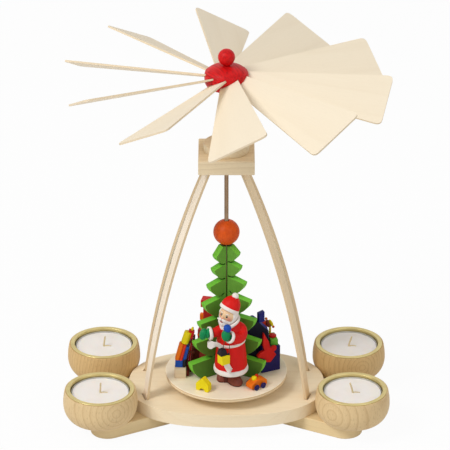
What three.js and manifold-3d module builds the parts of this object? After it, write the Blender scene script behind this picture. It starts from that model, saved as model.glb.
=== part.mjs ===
// Candle carousel: a wooden stand with four candle cups, four bent legs and a top block, and in it one steel
// shaft that carries a rotor of slanted blades, a bead and a round stage with a tree and small figures.
// Millimetres, +Z up, +Y to the rear. The origin is on the shaft's axis, at the underside of the arms.
import * as THREE from "three";
import { mergeVertices } from "three/addons/utils/BufferGeometryUtils.js";
import Module from "manifold-3d";

const wasm = await Module();
wasm.setup();
const rad = THREE.MathUtils.degToRad;

// Clearances and overruns that the pieces share
const seatGap = 0.3; // between pieces that touch on a slant or in a pocket
const boreGap = 0.2; // round the shaft, in the pieces fixed to it
const runningGap = 0.3; // round the shaft, in the pieces that it turns in
const overrun = 2; // how far a cutting shape runs past what it cuts

// Stand
const arm = { x: 79.9, y: 33.2, width: 23.2, thickness: 9.5, heading: rad(27.5), edge: 0.7 };
const plate = { halfLength: 66.6, halfDepth: 45.8, thickness: 9.5, edge: 0.8, fullness: 2.4 };
const frameHeight = 164; // from the plate up to the top block
const leg = {
  width: 8.6,
  thickness: 1.6,
  foot: { x: 54.3, y: 19.9 },
  head: { x: 11.6, y: 7.4 },
  bow: 5.8,
  tenon: 7,
  outerGap: 1.1,
};
const block = { side: 36.9, thickness: 10, edge: 0.5 };
const boss = { radius: 15, height: 5.6, edge: 0.8 };
const bearing = { radius: 4, height: 5, proud: 1.5, dimpleRadius: 1.9, dimpleDepth: 1.6 };

// Candle cup, its liner and its tea light, from the outside in
const cup = {
  x: 84.6,
  y: 32.85,
  radius: 25,
  footRadius: 15.5,
  bellyHeight: 12.5,
  rimRadius: 23.9,
  height: 22.3,
  floor: 3.6,
};
const liner = { flangeRadius: 23, flange: 0.8, proud: 0.6, radius: 20.7, wall: 0.7 };
const shell = { radius: 19.4, wall: 0.3, height: 16.6 };
const wax = { rimGap: 0.2, drop: 0.7, dish: 0.5, rimShare: 0.8 };
const wick = { radius: 0.55, height: 7.5, lean: rad(6) };

// Rotor
const shaft = { radius: 1.4, point: 2.2 };
const disc = { radius: 41.3, thickness: 3, lift: 6.9, edge: 0.4 };
const bead = { radius: 8.8 };
const hub = { radius: 14.35, height: 15.5, lift: 38.9, roof: 2 };
const finial = { radius: 5.55 };
const blade = {
  count: 10,
  reach: 105,
  rootReach: 9,
  tipHalf: 20.8,
  rootHalf: 5.9,
  rootShift: 1.2,
  thickness: 1.2,
  corner: 4.5,
  slotHeight: 6.8,
  pitch: rad(26.7),
  droop: rad(1.5),
  firstHeading: rad(-85.85),
};

// How each blade sits in its slot, off the even spread: turned about the shaft, sagging, pushed further out
const bladeSettings = [
  { turn: rad(-0.3), sag: rad(0.6), out: -0.1 },
  { turn: rad(0.6), sag: rad(1.2), out: 0.9 },
  { turn: rad(0.2), sag: rad(1.3), out: 1.3 },
  { turn: rad(-0.3), sag: rad(1), out: 1.2 },
  { turn: rad(-0.6), sag: rad(0.2), out: 0.7 },
  { turn: rad(-2.6), sag: rad(-0.6), out: 0.1 },
  { turn: rad(-0.6), sag: rad(-1.2), out: -0.8 },
  { turn: rad(-0.2), sag: rad(-1.3), out: -0.6 },
  { turn: rad(0.3), sag: rad(-1), out: -1.8 },
  { turn: rad(1.5), sag: rad(-0.2), out: -0.7 },
];

// Tree of three vanes
const tree = { height: 95.1, reach: 28.9, thickness: 5.4, slit: 0.7, heading: rad(92.5), vanes: 3 };

// Figure on the stage
const figure = { x: 3, y: -18.3 };
const boots = {
  length: 12,
  width: 7.6,
  height: 9.4,
  ankle: 3.4,
  spread: 4.3,
  splay: rad(14),
  domeShare: 0.8,
};
const bootPlaces = [
  { side: -1, x: -5.2, y: 3.6 },
  { side: 1, x: 3.5, y: -0.9 },
];
const robe = {
  lift: 9.8,
  hemRadius: 11.8,
  hemHeight: 4.1,
  skirtRadius: 10.9,
  beltRise: 31.3,
  waistRadius: 9.1,
  belt: 0.7,
  beltHeight: 2,
  shoulderRise: 43.5,
  shoulderRadius: 7.6,
  neckRise: 47.4,
  neckRadius: 4.6,
};
const head = { x: -1.6, y: -0.8, rise: 52.3, radius: 6.4, turn: rad(-125) };
const beard = { forward: 2.5, drop: 4, halfWidth: 5.9, halfDepth: 4.4, halfHeight: 5.4 };
const cap = {
  radius: 6.9,
  bandHeight: 2.7,
  domeHeight: 7.9,
  rise: 3.2,
  tiltRight: rad(27),
  tiltBack: rad(16),
};
// The cap's side: across as a share of its radius, up as a share of the dome, after the band
const capShares = [
  [0.94, 0],
  [0.9, 0.33],
  [0.66, 0.67],
  [0.34, 0.93],
  [0, 1],
];
const pompom = { radius: 2.4, x: 4.5, y: 2, rise: 12.6 };
const sleeve = { radius: 3.3, cuffRadius: 4, cuffHeight: 2.4 };
const mitten = { radius: 4 };
const lantern = {
  x: -4.8,
  y: -14.4,
  rise: 22.8,
  side: 6.2,
  height: 6.4,
  roof: 5.4,
  eaves: 0.4,
  cord: 0.45,
  turn: rad(33),
};

// Toys on the stage. A toy's blocks and pegs give their size, their place in the toy's own frame, their lean.
const house = {
  x: -15.3,
  y: -28.6,
  turn: rad(-29),
  width: 9.6,
  eaves: 5.2,
  ridge: 9.4,
  thickness: 4.8,
  arch: 2,
};
const car = {
  x: 20.2,
  y: -24,
  turn: rad(38),
  width: 5.4,
  wheel: 2.1,
  tread: 1.5,
  length: 13.4,
  roof: 6.5,
  base: 6.6,
  sideShares: [[-0.5, 0.23], [0.5, 0.23], [0.5, 0.66], [0.1, 1], [-0.18, 0.95], [-0.5, 0.54]],
  driver: { radius: 1.6, length: 3, x: -2, y: 0, z: 5.7 },
};
const train = {
  x: -32,
  y: -9,
  turn: 0,
  blocks: [
    { width: 7.8, depth: 6.4, height: 7.6, x: 0.8, y: -0.4, z: 0 },
    { width: 5, depth: 5.2, height: 5.6, x: -0.2, y: 0, z: 7.4, lean: rad(2) },
    { width: 4.9, depth: 5, height: 13.8, x: -0.6, y: 0, z: 12.2, lean: rad(14.5) },
    { width: 2.6, depth: 4.4, height: 16.4, x: 2, y: 0.4, z: 7.2, lean: rad(13) },
    { width: 3.8, depth: 4, height: 5.6, x: 7.2, y: 1, z: 29, lean: rad(17) },
    { width: 4, depth: 8, height: 4.4, x: 4.6, y: 3.4, z: 0 },
    { width: 4.4, depth: 3.4, height: 29, x: 6, y: 6.8, z: 0, lean: rad(6) },
  ],
  pegs: [
    { radius: 2.6, length: 9, x: 3.8, y: 0, z: 25.3, lean: rad(17) },
    { radius: 0.9, length: 3, x: 8.7, y: 0.8, z: 34.2, lean: rad(17) },
  ],
};
const redChest = {
  x: -11.8,
  y: 13.4,
  turn: rad(-12),
  blocks: [
    { width: 12, depth: 8, height: 24.7, x: -1.2, y: 0, z: 0 },
    { width: 8.2, depth: 6.6, height: 46.4, x: 0.7, y: 0, z: 0 },
    { width: 10.2, depth: 7.6, height: 5.2, x: 0, y: 0, z: 42 },
    { width: 3, depth: 3, height: 4.5, x: -4.7, y: 0, z: 31 },
  ],
  pegs: [],
};
const navyChest = {
  x: 28.3,
  y: 1.3,
  turn: rad(24.8),
  width: 14,
  depth: 9.4,
  height: 18.6,
  chimney: { x: -4.6, y: 2.2, width: 4.3, depth: 3.4, low: 36.2, leftTop: 42.9, rightTop: 44 },
};
// The slanted box on the navy chest, from its right front edge, and the knob on the box
const slantedBox = {
  x: 28.7,
  y: 0.7,
  turn: rad(10),
  length: 14.4,
  depth: 6.4,
  low: 12,
  rightTop: 29.3,
  leftTop: 38.1,
  shoulder: 8.6,
  knob: { radius: 1.9, x: -11.2, y: 2, z: 39.1 },
};
const greenChest = {
  x: 31.1,
  y: 5,
  turn: rad(13),
  blocks: [
    { width: 5.2, depth: 11, height: 4.4, x: 0.2, y: 0, z: 18.6 },
    { width: 7, depth: 6, height: 19.6, x: 0.3, y: 8.2, z: 0 },
    { width: 1.7, depth: 1.7, height: 6, x: -0.8, y: 4.4, z: 22.6 },
    { width: 5.6, depth: 3, height: 6.2, x: 0.1, y: 4.6, z: 27.5, lean: rad(-25) },
  ],
  pegs: [{ radius: 2.3, length: 1.6, x: 0.1, y: -0.4, z: 22.8 }],
};
const star = {
  thickness: 2.2,
  side: -4.2,
  rise: 19,
  width: 12.5,
  height: 21,
  outlineShares: [
    [-0.16, 0.6], [-0.25, 0.32], [-0.24, 0.13], [-0.18, 0.01], [-0.32, -0.09],
    [-0.52, -0.22], [-0.34, -0.28], [-0.1, -0.4], [0.18, -0.4], [0.24, -0.28],
    [0.45, -0.14], [0.42, 0.02], [0.48, 0.15], [0.22, 0.09], [0.11, 0.16],
  ],
};

// How finely round shapes are stepped
const roundSteps = 32;
const fineSteps = 56;
const ballSteps = 20;
const smallSteps = 16;
const tinySteps = 8;
const arcSteps = 4;

// Heights that follow from the sizes
const armTop = arm.thickness;
const plateTop = armTop + plate.thickness;
const blockBottom = plateTop + frameHeight;
const blockTop = blockBottom + block.thickness;
const bossTop = blockTop + boss.height;
const discTop = plateTop + disc.lift + disc.thickness;
const treeTop = discTop + tree.height;
const boreRadius = shaft.radius + boreGap;
const beadHeight = treeTop + seatGap + Math.hypot(bead.radius, boreRadius) - boreGap / 2;
const hubBottom = bossTop + hub.lift;
const hubTop = hubBottom + hub.height;
const cupTop = armTop + cup.height;
const linerFloor = armTop + cup.floor + liner.wall;

function paint(color, roughness, metalness = 0) {
  return new THREE.MeshStandardMaterial({ color, roughness, metalness });
}
const finish = {
  maple: paint(0xe8d9bf, 0.6),
  beech: paint(0xc7a679, 0.6),
  brass: paint(0xc9bc7a, 0.3, 1),
  aluminium: paint(0xd0d0d0, 0.3, 1),
  wax: paint(0xece4d9, 0.5),
  steel: paint(0x8a7a68, 0.35, 1),
  red: paint(0xbe1b20, 0.45),
  orange: paint(0xca5319, 0.5),
  green: paint(0x4d8c2a, 0.55),
  brown: paint(0x783c2d, 0.55),
  cream: paint(0xeee6da, 0.6),
  yellow: paint(0xd6c60e, 0.5),
  navy: paint(0x1e1c50, 0.5),
};

const carousel = new THREE.Group();

// Adds a named piece to the carousel, from a geometry or from a solid
function addPiece(name, body, material) {
  const geometry = body.isBufferGeometry ? body : geometryOf(body);
  const mesh = new THREE.Mesh(geometry, material);
  mesh.name = name;
  carousel.add(mesh);
}

// A closed geometry as a solid that can be joined and cut
function solid(geometry) {
  const bare = geometry.clone();
  bare.deleteAttribute("normal");
  bare.deleteAttribute("uv");
  const merged = mergeVertices(bare);
  const mesh = new wasm.Mesh({
    numProp: 3,
    vertProperties: merged.attributes.position.array,
    triVerts: new Uint32Array(merged.index.array),
  });
  return new wasm.Manifold(mesh);
}

// A solid as a geometry again
function geometryOf(body) {
  const mesh = body.getMesh();
  const geometry = new THREE.BufferGeometry();
  geometry.setAttribute("position", new THREE.BufferAttribute(mesh.vertProperties, 3));
  geometry.setIndex(new THREE.BufferAttribute(mesh.triVerts, 1));
  geometry.computeVertexNormals();
  return geometry;
}

// All the geometries as one solid
function joined(...geometries) {
  return geometries.map(solid).reduce((whole, next) => whole.add(next));
}

// The largest body of what a cut has left, without the slivers
function largest(body) {
  return body.decompose().reduce((best, next) => (next.volume() > best.volume() ? next : best));
}

// A body turned about Z from [radius, height] pairs, listed up the outside and back down any bore
function turned(outline, steps = roundSteps) {
  const points = outline.map(([radius, height]) => new THREE.Vector2(radius, height));
  return new THREE.LatheGeometry(points, steps).rotateX(Math.PI / 2);
}

// A round rod that stands on z = 0
function rod(radius, height, steps = roundSteps, topRadius = radius) {
  const upright = new THREE.CylinderGeometry(topRadius, radius, height, steps).rotateX(Math.PI / 2);
  return upright.translate(0, 0, height / 2);
}

// A box that stands on z = 0
function box(width, depth, height) {
  return new THREE.BoxGeometry(width, depth, height).translate(0, 0, height / 2);
}

function ball(radius, steps = smallSteps) {
  return new THREE.SphereGeometry(radius, steps, steps / 2).rotateX(Math.PI / 2);
}

// A flat board cut to an outline, with its edges eased, that lies on z = 0
function board(shape, thickness, edge) {
  const options = {
    depth: thickness - 2 * edge,
    bevelThickness: edge,
    bevelSize: edge,
    bevelOffset: -edge,
    bevelSegments: 1,
    curveSegments: smallSteps,
  };
  return new THREE.ExtrudeGeometry(shape, options).translate(0, 0, edge);
}

// A plain slab cut to an outline, centred on its own thickness
function slab(shape, thickness) {
  const options = { depth: thickness, bevelEnabled: false, curveSegments: smallSteps };
  return new THREE.ExtrudeGeometry(shape, options).translate(0, 0, -thickness / 2);
}

function polygon(points) {
  return new THREE.Shape(points.map(([x, y]) => new THREE.Vector2(x, y)));
}

// Stands a flat outline upright: its x runs along the heading, its y runs up
function upright(geometry, heading) {
  const along = new THREE.Vector3(Math.cos(heading), Math.sin(heading), 0);
  const up = new THREE.Vector3(0, 0, 1);
  const basis = new THREE.Matrix4().makeBasis(along, up, along.clone().cross(up));
  return geometry.applyMatrix4(basis);
}

// The hole that clears the shaft, between two heights
function shaftHole(gap, low, high) {
  return solid(rod(shaft.radius + gap, high - low + 2 * overrun, smallSteps).translate(0, 0, low - overrun));
}

// The four corners of the stand. headIn is how much closer to the middle a leg's head stands.
const corners = [
  { name: "front_left", x: -1, y: -1, headIn: 0 },
  { name: "front_right", x: 1, y: -1, headIn: 1.2 },
  { name: "rear_left", x: -1, y: 1, headIn: 0 },
  { name: "rear_right", x: 1, y: 1, headIn: 1.2 },
];

// Arms: boards with a round outer end, mitred to each other under the plate
function armBody(corner) {
  const inner = -(arm.x + arm.width);
  const outline = new THREE.Shape();
  outline.moveTo(inner, arm.width / 2);
  outline.lineTo(inner, -arm.width / 2);
  outline.absarc(0, 0, arm.width / 2, -Math.PI / 2, Math.PI / 2);
  const heading = Math.atan2(corner.y * Math.sin(arm.heading), corner.x * Math.cos(arm.heading));
  const whole = board(outline, arm.thickness, arm.edge).rotateZ(heading);
  whole.translate(corner.x * arm.x, corner.y * arm.y, 0);
  const span = arm.x + arm.width;
  const shift = (span + seatGap) / 2;
  const quarter = box(span, span, arm.thickness).translate(corner.x * shift, corner.y * shift, 0);
  return solid(whole).intersect(solid(quarter));
}

// The centre line of a leg, from foot (share 0) to head (share 1), as its place inward and up from the foot.
// run is how far inward the head stands from the foot.
function legLine(share, run) {
  const length = Math.hypot(run, frameHeight);
  const bow = (4 * leg.bow * share * (1 - share)) / length;
  return new THREE.Vector2(run * share - frameHeight * bow, frameHeight * share + run * bow);
}

// A leg, or the room for one: extra on its inner side, its outer side and its edges
function legBody(corner, low, high, inner = 0, outer = 0, edges = 0) {
  const steps = 18;
  const inward = leg.foot.x - leg.head.x + corner.headIn;
  const back = leg.foot.y - leg.head.y;
  const run = Math.hypot(inward, back);
  const insideLine = [];
  const outsideLine = [];
  for (let i = 0; i <= steps; i++) {
    const share = low + ((high - low) * i) / steps;
    const here = legLine(share, run);
    const along = legLine(share + 1 / steps, run).sub(legLine(share - 1 / steps, run)).normalize();
    const side = new THREE.Vector2(along.y, -along.x);
    insideLine.push(here.clone().addScaledVector(side, leg.thickness / 2 + inner));
    outsideLine.push(here.clone().addScaledVector(side, -leg.thickness / 2 - outer));
  }
  const outline = new THREE.Shape([...insideLine, ...outsideLine.reverse()]);
  const heading = Math.atan2(-corner.y * back, -corner.x * inward);
  const strip = upright(slab(outline, leg.width + 2 * edges), heading);
  return solid(strip.translate(corner.x * leg.foot.x, corner.y * leg.foot.y, plateTop));
}

const tenonShare = leg.tenon / frameHeight;
const mortiseShare = (leg.tenon + seatGap) / frameHeight;

// Base plate: an oval board between an ellipse and a rectangle, with mortises and the bearing's pocket
function plateBody() {
  const outline = [];
  for (let i = 0; i < fineSteps; i++) {
    const angle = (2 * Math.PI * i) / fineSteps;
    const grow = (value) => Math.sign(value) * Math.abs(value) ** (2 / plate.fullness);
    outline.push([plate.halfLength * grow(Math.cos(angle)), plate.halfDepth * grow(Math.sin(angle))]);
  }
  let body = solid(board(polygon(outline), plate.thickness, plate.edge).translate(0, 0, armTop));
  for (const corner of corners) {
    const room = legBody(corner, -mortiseShare, mortiseShare, seatGap, leg.outerGap, seatGap);
    body = body.subtract(room);
  }
  const pocketDepth = bearing.height - bearing.proud;
  const pocket = rod(bearing.radius + boreGap, pocketDepth + overrun, smallSteps);
  return body.subtract(solid(pocket.translate(0, 0, plateTop - pocketDepth)));
}

// Lower bearing: a small cup with a cone that the shaft's point stands in
const bearingTop = plateTop + bearing.proud;
function bearingBody() {
  const low = bearingTop - bearing.height;
  return turned([
    [0, low],
    [bearing.radius, low],
    [bearing.radius, bearingTop],
    [bearing.dimpleRadius, bearingTop],
    [0, bearingTop - bearing.dimpleDepth],
  ], smallSteps);
}

function blockBody() {
  const half = block.side / 2;
  const outline = polygon([[-half, -half], [half, -half], [half, half], [-half, half]]);
  let body = solid(board(outline, block.thickness, block.edge).translate(0, 0, blockBottom));
  for (const corner of corners) {
    body = body.subtract(legBody(corner, 1 - mortiseShare, 1 + mortiseShare, seatGap, seatGap, seatGap));
  }
  return body.subtract(shaftHole(runningGap, blockBottom, blockTop));
}

function bossBody() {
  const bore = shaft.radius + runningGap;
  return turned([
    [bore, blockTop],
    [boss.radius, blockTop],
    [boss.radius, bossTop - boss.edge],
    [boss.radius - boss.edge, bossTop],
    [bore, bossTop],
    [bore, blockTop],
  ]);
}

// Candle cup: a turned bowl, flat below and round at the side, with a bore and a recess for its liner
function cupBody() {
  const outline = [[0, armTop]];
  for (let i = 0; i <= arcSteps; i++) {
    const angle = (Math.PI / 2) * (i / arcSteps);
    const radius = cup.footRadius + (cup.radius - cup.footRadius) * Math.sin(angle);
    outline.push([radius, armTop + cup.bellyHeight * (1 - Math.cos(angle))]);
  }
  for (let i = 2; i <= arcSteps; i += 2) {
    const share = i / arcSteps;
    const radius = cup.radius - (cup.radius - cup.rimRadius) * share ** 2;
    outline.push([radius, armTop + cup.bellyHeight + (cup.height - cup.bellyHeight) * share]);
  }
  const recessFloor = cupTop - (liner.flange - liner.proud);
  outline.push([liner.flangeRadius + boreGap, cupTop], [liner.flangeRadius + boreGap, recessFloor]);
  outline.push([liner.radius + boreGap, recessFloor], [liner.radius + boreGap, armTop + cup.floor]);
  outline.push([0, armTop + cup.floor]);
  return turned(outline);
}

// Liner: a drawn metal cup with a flat flange that lies in the wooden cup's recess
function linerBody() {
  const low = armTop + cup.floor;
  const flangeLow = cupTop - (liner.flange - liner.proud);
  const inside = liner.radius - liner.wall;
  return turned([
    [0, low],
    [liner.radius, low],
    [liner.radius, flangeLow],
    [liner.flangeRadius, flangeLow],
    [liner.flangeRadius, flangeLow + liner.flange],
    [inside, flangeLow + liner.flange],
    [inside, linerFloor],
    [0, linerFloor],
  ]);
}

function shellBody() {
  const inside = shell.radius - shell.wall;
  const top = linerFloor + shell.height;
  return turned([
    [0, linerFloor],
    [shell.radius, linerFloor],
    [shell.radius, top],
    [inside, top],
    [inside, linerFloor + shell.wall],
    [0, linerFloor + shell.wall],
  ]);
}

function waxBody() {
  const low = linerFloor + shell.wall;
  const radius = shell.radius - shell.wall - wax.rimGap;
  const top = linerFloor + shell.height - wax.drop;
  const filling = turned([
    [0, low],
    [radius, low],
    [radius, top],
    [radius * wax.rimShare, top - wax.dish],
    [0, top - wax.dish],
  ]);
  const stem = rod(wick.radius, wick.height + wax.dish, smallSteps / 2).rotateY(wick.lean);
  return joined(filling, stem.translate(0, 0, top - 2 * wax.dish));
}

for (const corner of corners) {
  const x = corner.x * cup.x;
  const y = corner.y * cup.y;
  addPiece(`arm_${corner.name}`, armBody(corner), finish.maple);
  addPiece(`leg_${corner.name}`, legBody(corner, -tenonShare, 1 + tenonShare), finish.maple);
  addPiece(`cup_${corner.name}`, cupBody().translate(x, y, 0), finish.beech);
  addPiece(`liner_${corner.name}`, linerBody().translate(x, y, 0), finish.brass);
  addPiece(`tealight_shell_${corner.name}`, shellBody().translate(x, y, 0), finish.aluminium);
  addPiece(`tealight_wax_${corner.name}`, waxBody().translate(x, y, 0), finish.wax);
}
addPiece("base_plate", plateBody(), finish.maple);
addPiece("lower_bearing", bearingBody(), finish.brass);
addPiece("top_block", blockBody(), finish.maple);
addPiece("upper_bearing_boss", bossBody(), finish.maple);

// Shaft: its point stands in the lower bearing, its top end in the hub
const shaftTip = bearingTop - bearing.dimpleDepth + seatGap;
const shaftTop = hubTop - hub.roof;
const shaftOutline = [
  [0, shaftTip],
  [shaft.radius, shaftTip + shaft.point],
  [shaft.radius, shaftTop],
  [0, shaftTop],
];
addPiece("shaft", turned(shaftOutline, smallSteps), finish.steel);

// Turntable disc
const discBottom = plateTop + disc.lift;
addPiece(
  "turntable",
  turned(
    [
      [boreRadius, discBottom],
      [disc.radius - disc.edge, discBottom],
      [disc.radius, discBottom + disc.edge],
      [disc.radius, discTop - disc.edge],
      [disc.radius - disc.edge, discTop],
      [boreRadius, discTop],
      [boreRadius, discBottom],
    ],
    fineSteps,
  ),
  finish.maple,
);

// Bead on the shaft, over the tree
const beadBall = solid(ball(bead.radius, ballSteps).translate(0, 0, beadHeight));
const beadHole = shaftHole(boreGap, beadHeight - bead.radius, beadHeight + bead.radius);
addPiece("bead", beadBall.subtract(beadHole), finish.orange);

// Blades: thin trapezoids, each in a slanted slot of the hub. extra makes the room that the slot needs.
function bladeBody(index, extra = 0) {
  const { turn, sag, out } = bladeSettings[index];
  const high = blade.rootShift + blade.rootHalf + extra;
  const low = blade.rootShift - blade.rootHalf - extra;
  const inner = blade.rootReach - extra;
  const flank = blade.corner * ((blade.tipHalf - blade.rootHalf) / (blade.reach - blade.rootReach));
  const tip = blade.tipHalf + extra;
  const outline = new THREE.Shape();
  outline.moveTo(inner, low);
  outline.lineTo(blade.reach - blade.corner, flank - tip);
  outline.quadraticCurveTo(blade.reach, -tip, blade.reach, blade.corner - tip);
  outline.lineTo(blade.reach, tip - blade.corner);
  outline.quadraticCurveTo(blade.reach, tip, blade.reach - blade.corner, tip - flank);
  outline.lineTo(inner, high);
  const options = { depth: blade.thickness + 2 * extra, bevelEnabled: false, curveSegments: arcSteps };
  const flat = new THREE.ExtrudeGeometry(outline, options);
  flat.translate(out, 0, -blade.thickness / 2 - extra).rotateX(blade.pitch).rotateY(blade.droop + sag);
  const heading = blade.firstHeading + turn + (index * 2 * Math.PI) / blade.count;
  return flat.rotateZ(heading).translate(0, 0, hubBottom + blade.slotHeight);
}

// Hub: rounded below, a narrow ledge at the shoulder, domed above
const hubShares = [
  [0, 0],
  [0.66, 0],
  [0.85, 0.07],
  [0.965, 0.21],
  [1, 0.38],
  [0.99, 0.6],
  [0.93, 0.72],
  [0.91, 0.745],
  [0.78, 0.85],
  [0.52, 0.95],
  [0.24, 1],
  [0, 1],
];
function hubBody() {
  const outline = hubShares.map(([across, up]) => [hub.radius * across, hubBottom + hub.height * up]);
  let body = solid(turned(outline));
  for (let i = 0; i < blade.count; i++) body = body.subtract(solid(bladeBody(i, seatGap)));
  const bore = rod(boreRadius, shaftTop + seatGap - hubBottom + overrun, smallSteps);
  return body.subtract(solid(bore.translate(0, 0, hubBottom - overrun)));
}
addPiece("rotor_hub", hubBody(), finish.red);
const finialHeight = hubTop + finial.radius + boreGap;
addPiece("finial_ball", ball(finial.radius, ballSteps).translate(0, 0, finialHeight), finish.red);
for (let i = 0; i < blade.count; i++) {
  addPiece(`blade_${String(i + 1).padStart(2, "0")}`, bladeBody(i), finish.maple);
}

// Tree: each tier gives the height and reach of its tip, then of the notch below it, as shares of the vane's
const tierShares = [
  { tip: [0.325, 0.933], notch: [0.15, 0.868] },
  { tip: [0.377, 0.834], notch: [0.17, 0.753] },
  { tip: [0.498, 0.714], notch: [0.22, 0.616] },
  { tip: [0.633, 0.581], notch: [0.275, 0.462] },
  { tip: [0.761, 0.441], notch: [0.36, 0.325] },
  { tip: [0.889, 0.299], notch: [0.43, 0.158] },
  { tip: [1, 0.136], notch: [0.71, 0] },
];
// Each vane is sawn on its own, so its upper tiers sit a little higher or lower
const vanes = [
  { name: "tree_vane_rear", lift: 0 },
  { name: "tree_vane_left", lift: 0 },
  { name: "tree_vane_right", lift: 1.5 },
];
const topShare = 0.15;
const sawShare = 0.55; // how far a saw cut runs on from its notch, toward the shaft
const bellySteps = 5;
const bellyRound = 0.7; // 1 for a full quarter round from a tip to its notch, 0 for a straight line
const highTiers = 0.4; // the tiers above this share of the height take a vane's own lift
function vaneOutline(lift) {
  const place = ([across, up]) => [tree.reach * across, tree.height * up + (up > highTiers ? lift : 0)];
  const outline = [[0, 0], [0, tree.height], [tree.reach * topShare, tree.height]];
  tierShares.forEach(({ tip, notch }, tier) => {
    const [tipReach, tipRise] = place(tip);
    const [notchReach, notchRise] = place(notch);
    for (let i = 0; i < bellySteps; i++) {
      const angle = (Math.PI / 2) * (i / bellySteps);
      const inward = 1 - Math.cos(angle);
      const down = bellyRound * Math.sin(angle) + (1 - bellyRound) * inward;
      outline.push([tipReach - (tipReach - notchReach) * inward, tipRise - (tipRise - notchRise) * down]);
    }
    outline.push([notchReach, notchRise]);
    if (tier < tierShares.length - 1) {
      // A saw cut runs on inward and up from each notch
      const cut = (notchReach - boreRadius) * sawShare;
      outline.push([notchReach - cut, notchRise + cut]);
      outline.push([notchReach - cut - tree.slit / 2, notchRise + cut - tree.slit]);
      outline.push([notchReach, notchRise - tree.slit]);
    }
  });
  return polygon(outline.reverse());
}
function vaneBody(index, extra = 0) {
  const spread = (2 * Math.PI) / tree.vanes;
  const heading = tree.heading + index * spread;
  const outline = vaneOutline(vanes[index].lift);
  const flat = upright(slab(outline, tree.thickness + 2 * extra), heading).translate(0, 0, discTop);
  const start = seatGap / (2 * Math.sin(spread / 2));
  const reach = tree.reach + overrun;
  const side = reach * Math.tan(spread / 2);
  const sector = polygon([[start, 0], [start + reach, -side], [start + reach, side]]);
  const wedge = new THREE.ExtrudeGeometry(sector, { depth: tree.height + 2 * overrun, bevelEnabled: false });
  wedge.rotateZ(heading).translate(0, 0, discTop - overrun);
  return solid(flat).intersect(solid(wedge)).subtract(shaftHole(boreGap, discTop, treeTop));
}
vanes.forEach(({ name }, index) => addPiece(name, vaneBody(index), finish.green));

// Moves a piece of the figure from the figure's own frame, on the disc, to its place on the stage
const onFigure = (geometry) => geometry.translate(figure.x, figure.y, discTop);

function robeBody(extra = 0) {
  const belly = robe.beltRise + robe.beltHeight;
  const outline = [
    [0, robe.lift],
    [robe.hemRadius, robe.lift],
    [robe.hemRadius, robe.lift + robe.hemHeight],
    [robe.skirtRadius, robe.lift + robe.hemHeight],
    [robe.waistRadius, robe.beltRise],
    [robe.waistRadius + robe.belt, robe.beltRise],
    [robe.waistRadius + robe.belt, belly],
    [robe.waistRadius, belly],
    [robe.shoulderRadius, robe.shoulderRise],
    [robe.neckRadius, robe.neckRise],
    [0, robe.neckRise],
  ];
  return turned(outline.map(([radius, height]) => [radius ? radius + extra : 0, height]), ballSteps);
}

// Head: a ball with a full beard and a small nose
function headBody(extra = 0) {
  const skull = ball(head.radius + extra);
  const whiskers = ball(1).scale(beard.halfDepth + extra, beard.halfWidth + extra, beard.halfHeight + extra);
  const nose = ball(beard.halfDepth / 4 + extra, tinySteps).translate(head.radius, 0, 0);
  const both = joined(skull, whiskers.translate(beard.forward, 0, -beard.drop), nose);
  const turnedHead = geometryOf(both).rotateZ(head.turn).translate(head.x, head.y, head.rise);
  return solid(onFigure(turnedHead));
}

function capBody() {
  const { radius, bandHeight, domeHeight } = cap;
  const brow = radius - seatGap;
  const side = capShares.map(([across, up]) => [brow * across, bandHeight + domeHeight * up]);
  const band = [[0, 0], [brow, 0], [radius, seatGap], [radius, bandHeight - seatGap], [brow, bandHeight]];
  const dome = turned([...band, ...side], ballSteps);
  dome.rotateY(cap.tiltRight).rotateX(-cap.tiltBack).translate(head.x, head.y, head.rise + cap.rise);
  const tuft = ball(pompom.radius).translate(head.x + pompom.x, head.y + pompom.y, head.rise + pompom.rise);
  return joined(onFigure(dome), onFigure(tuft)).subtract(headBody(seatGap));
}

// An arm: a sleeve along its places, then a cuff and a mitten at its end
function armOf({ sleeve: places, hand }) {
  const path = new THREE.CatmullRomCurve3(places.map(({ x, y, z }) => new THREE.Vector3(x, y, z)));
  const section = new THREE.Shape().absarc(0, 0, sleeve.radius, 0, 2 * Math.PI);
  const options = { steps: arcSteps + 1, extrudePath: path, curveSegments: arcSteps, bevelEnabled: false };
  const cloth = new THREE.ExtrudeGeometry(section, options);
  const wrist = path.getPoint(1);
  const along = path.getTangent(1);
  const turn = new THREE.Quaternion().setFromUnitVectors(new THREE.Vector3(0, 0, 1), along);
  const cuff = rod(sleeve.cuffRadius, sleeve.cuffHeight, smallSteps).applyQuaternion(turn);
  cuff.translate(wrist.x, wrist.y, wrist.z);
  const palm = ball(mitten.radius).translate(hand.x, hand.y, hand.z);
  return [onFigure(cloth), onFigure(cuff), onFigure(palm)];
}

const bootShapes = bootPlaces.map(({ side, x, y }) => {
  const foot = ball(1).scale(boots.width / 2, boots.length / 2, boots.height * boots.domeShare);
  const ankle = rod(boots.ankle, boots.height, smallSteps).translate(0, boots.ankle / 2, 0);
  const pair = joined(foot, ankle).intersect(solid(box(boots.length * 2, boots.length * 2, boots.height)));
  return geometryOf(pair).rotateZ(side * boots.splay).translate(x, y, 0);
});
const heelBlock = box(boots.spread * 2, boots.ankle, boots.height).translate(0, boots.ankle, 0);
const robeSolid = solid(onFigure(robeBody()));
const robeRoom = solid(onFigure(robeBody(seatGap)));
addPiece("figure_boots", joined(...bootShapes.map(onFigure), onFigure(heelBlock)), finish.brown);
addPiece("figure_robe", robeSolid.subtract(headBody(seatGap)), finish.red);
addPiece("figure_head", headBody(), finish.cream);
addPiece("figure_cap", capBody(), finish.red);

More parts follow.
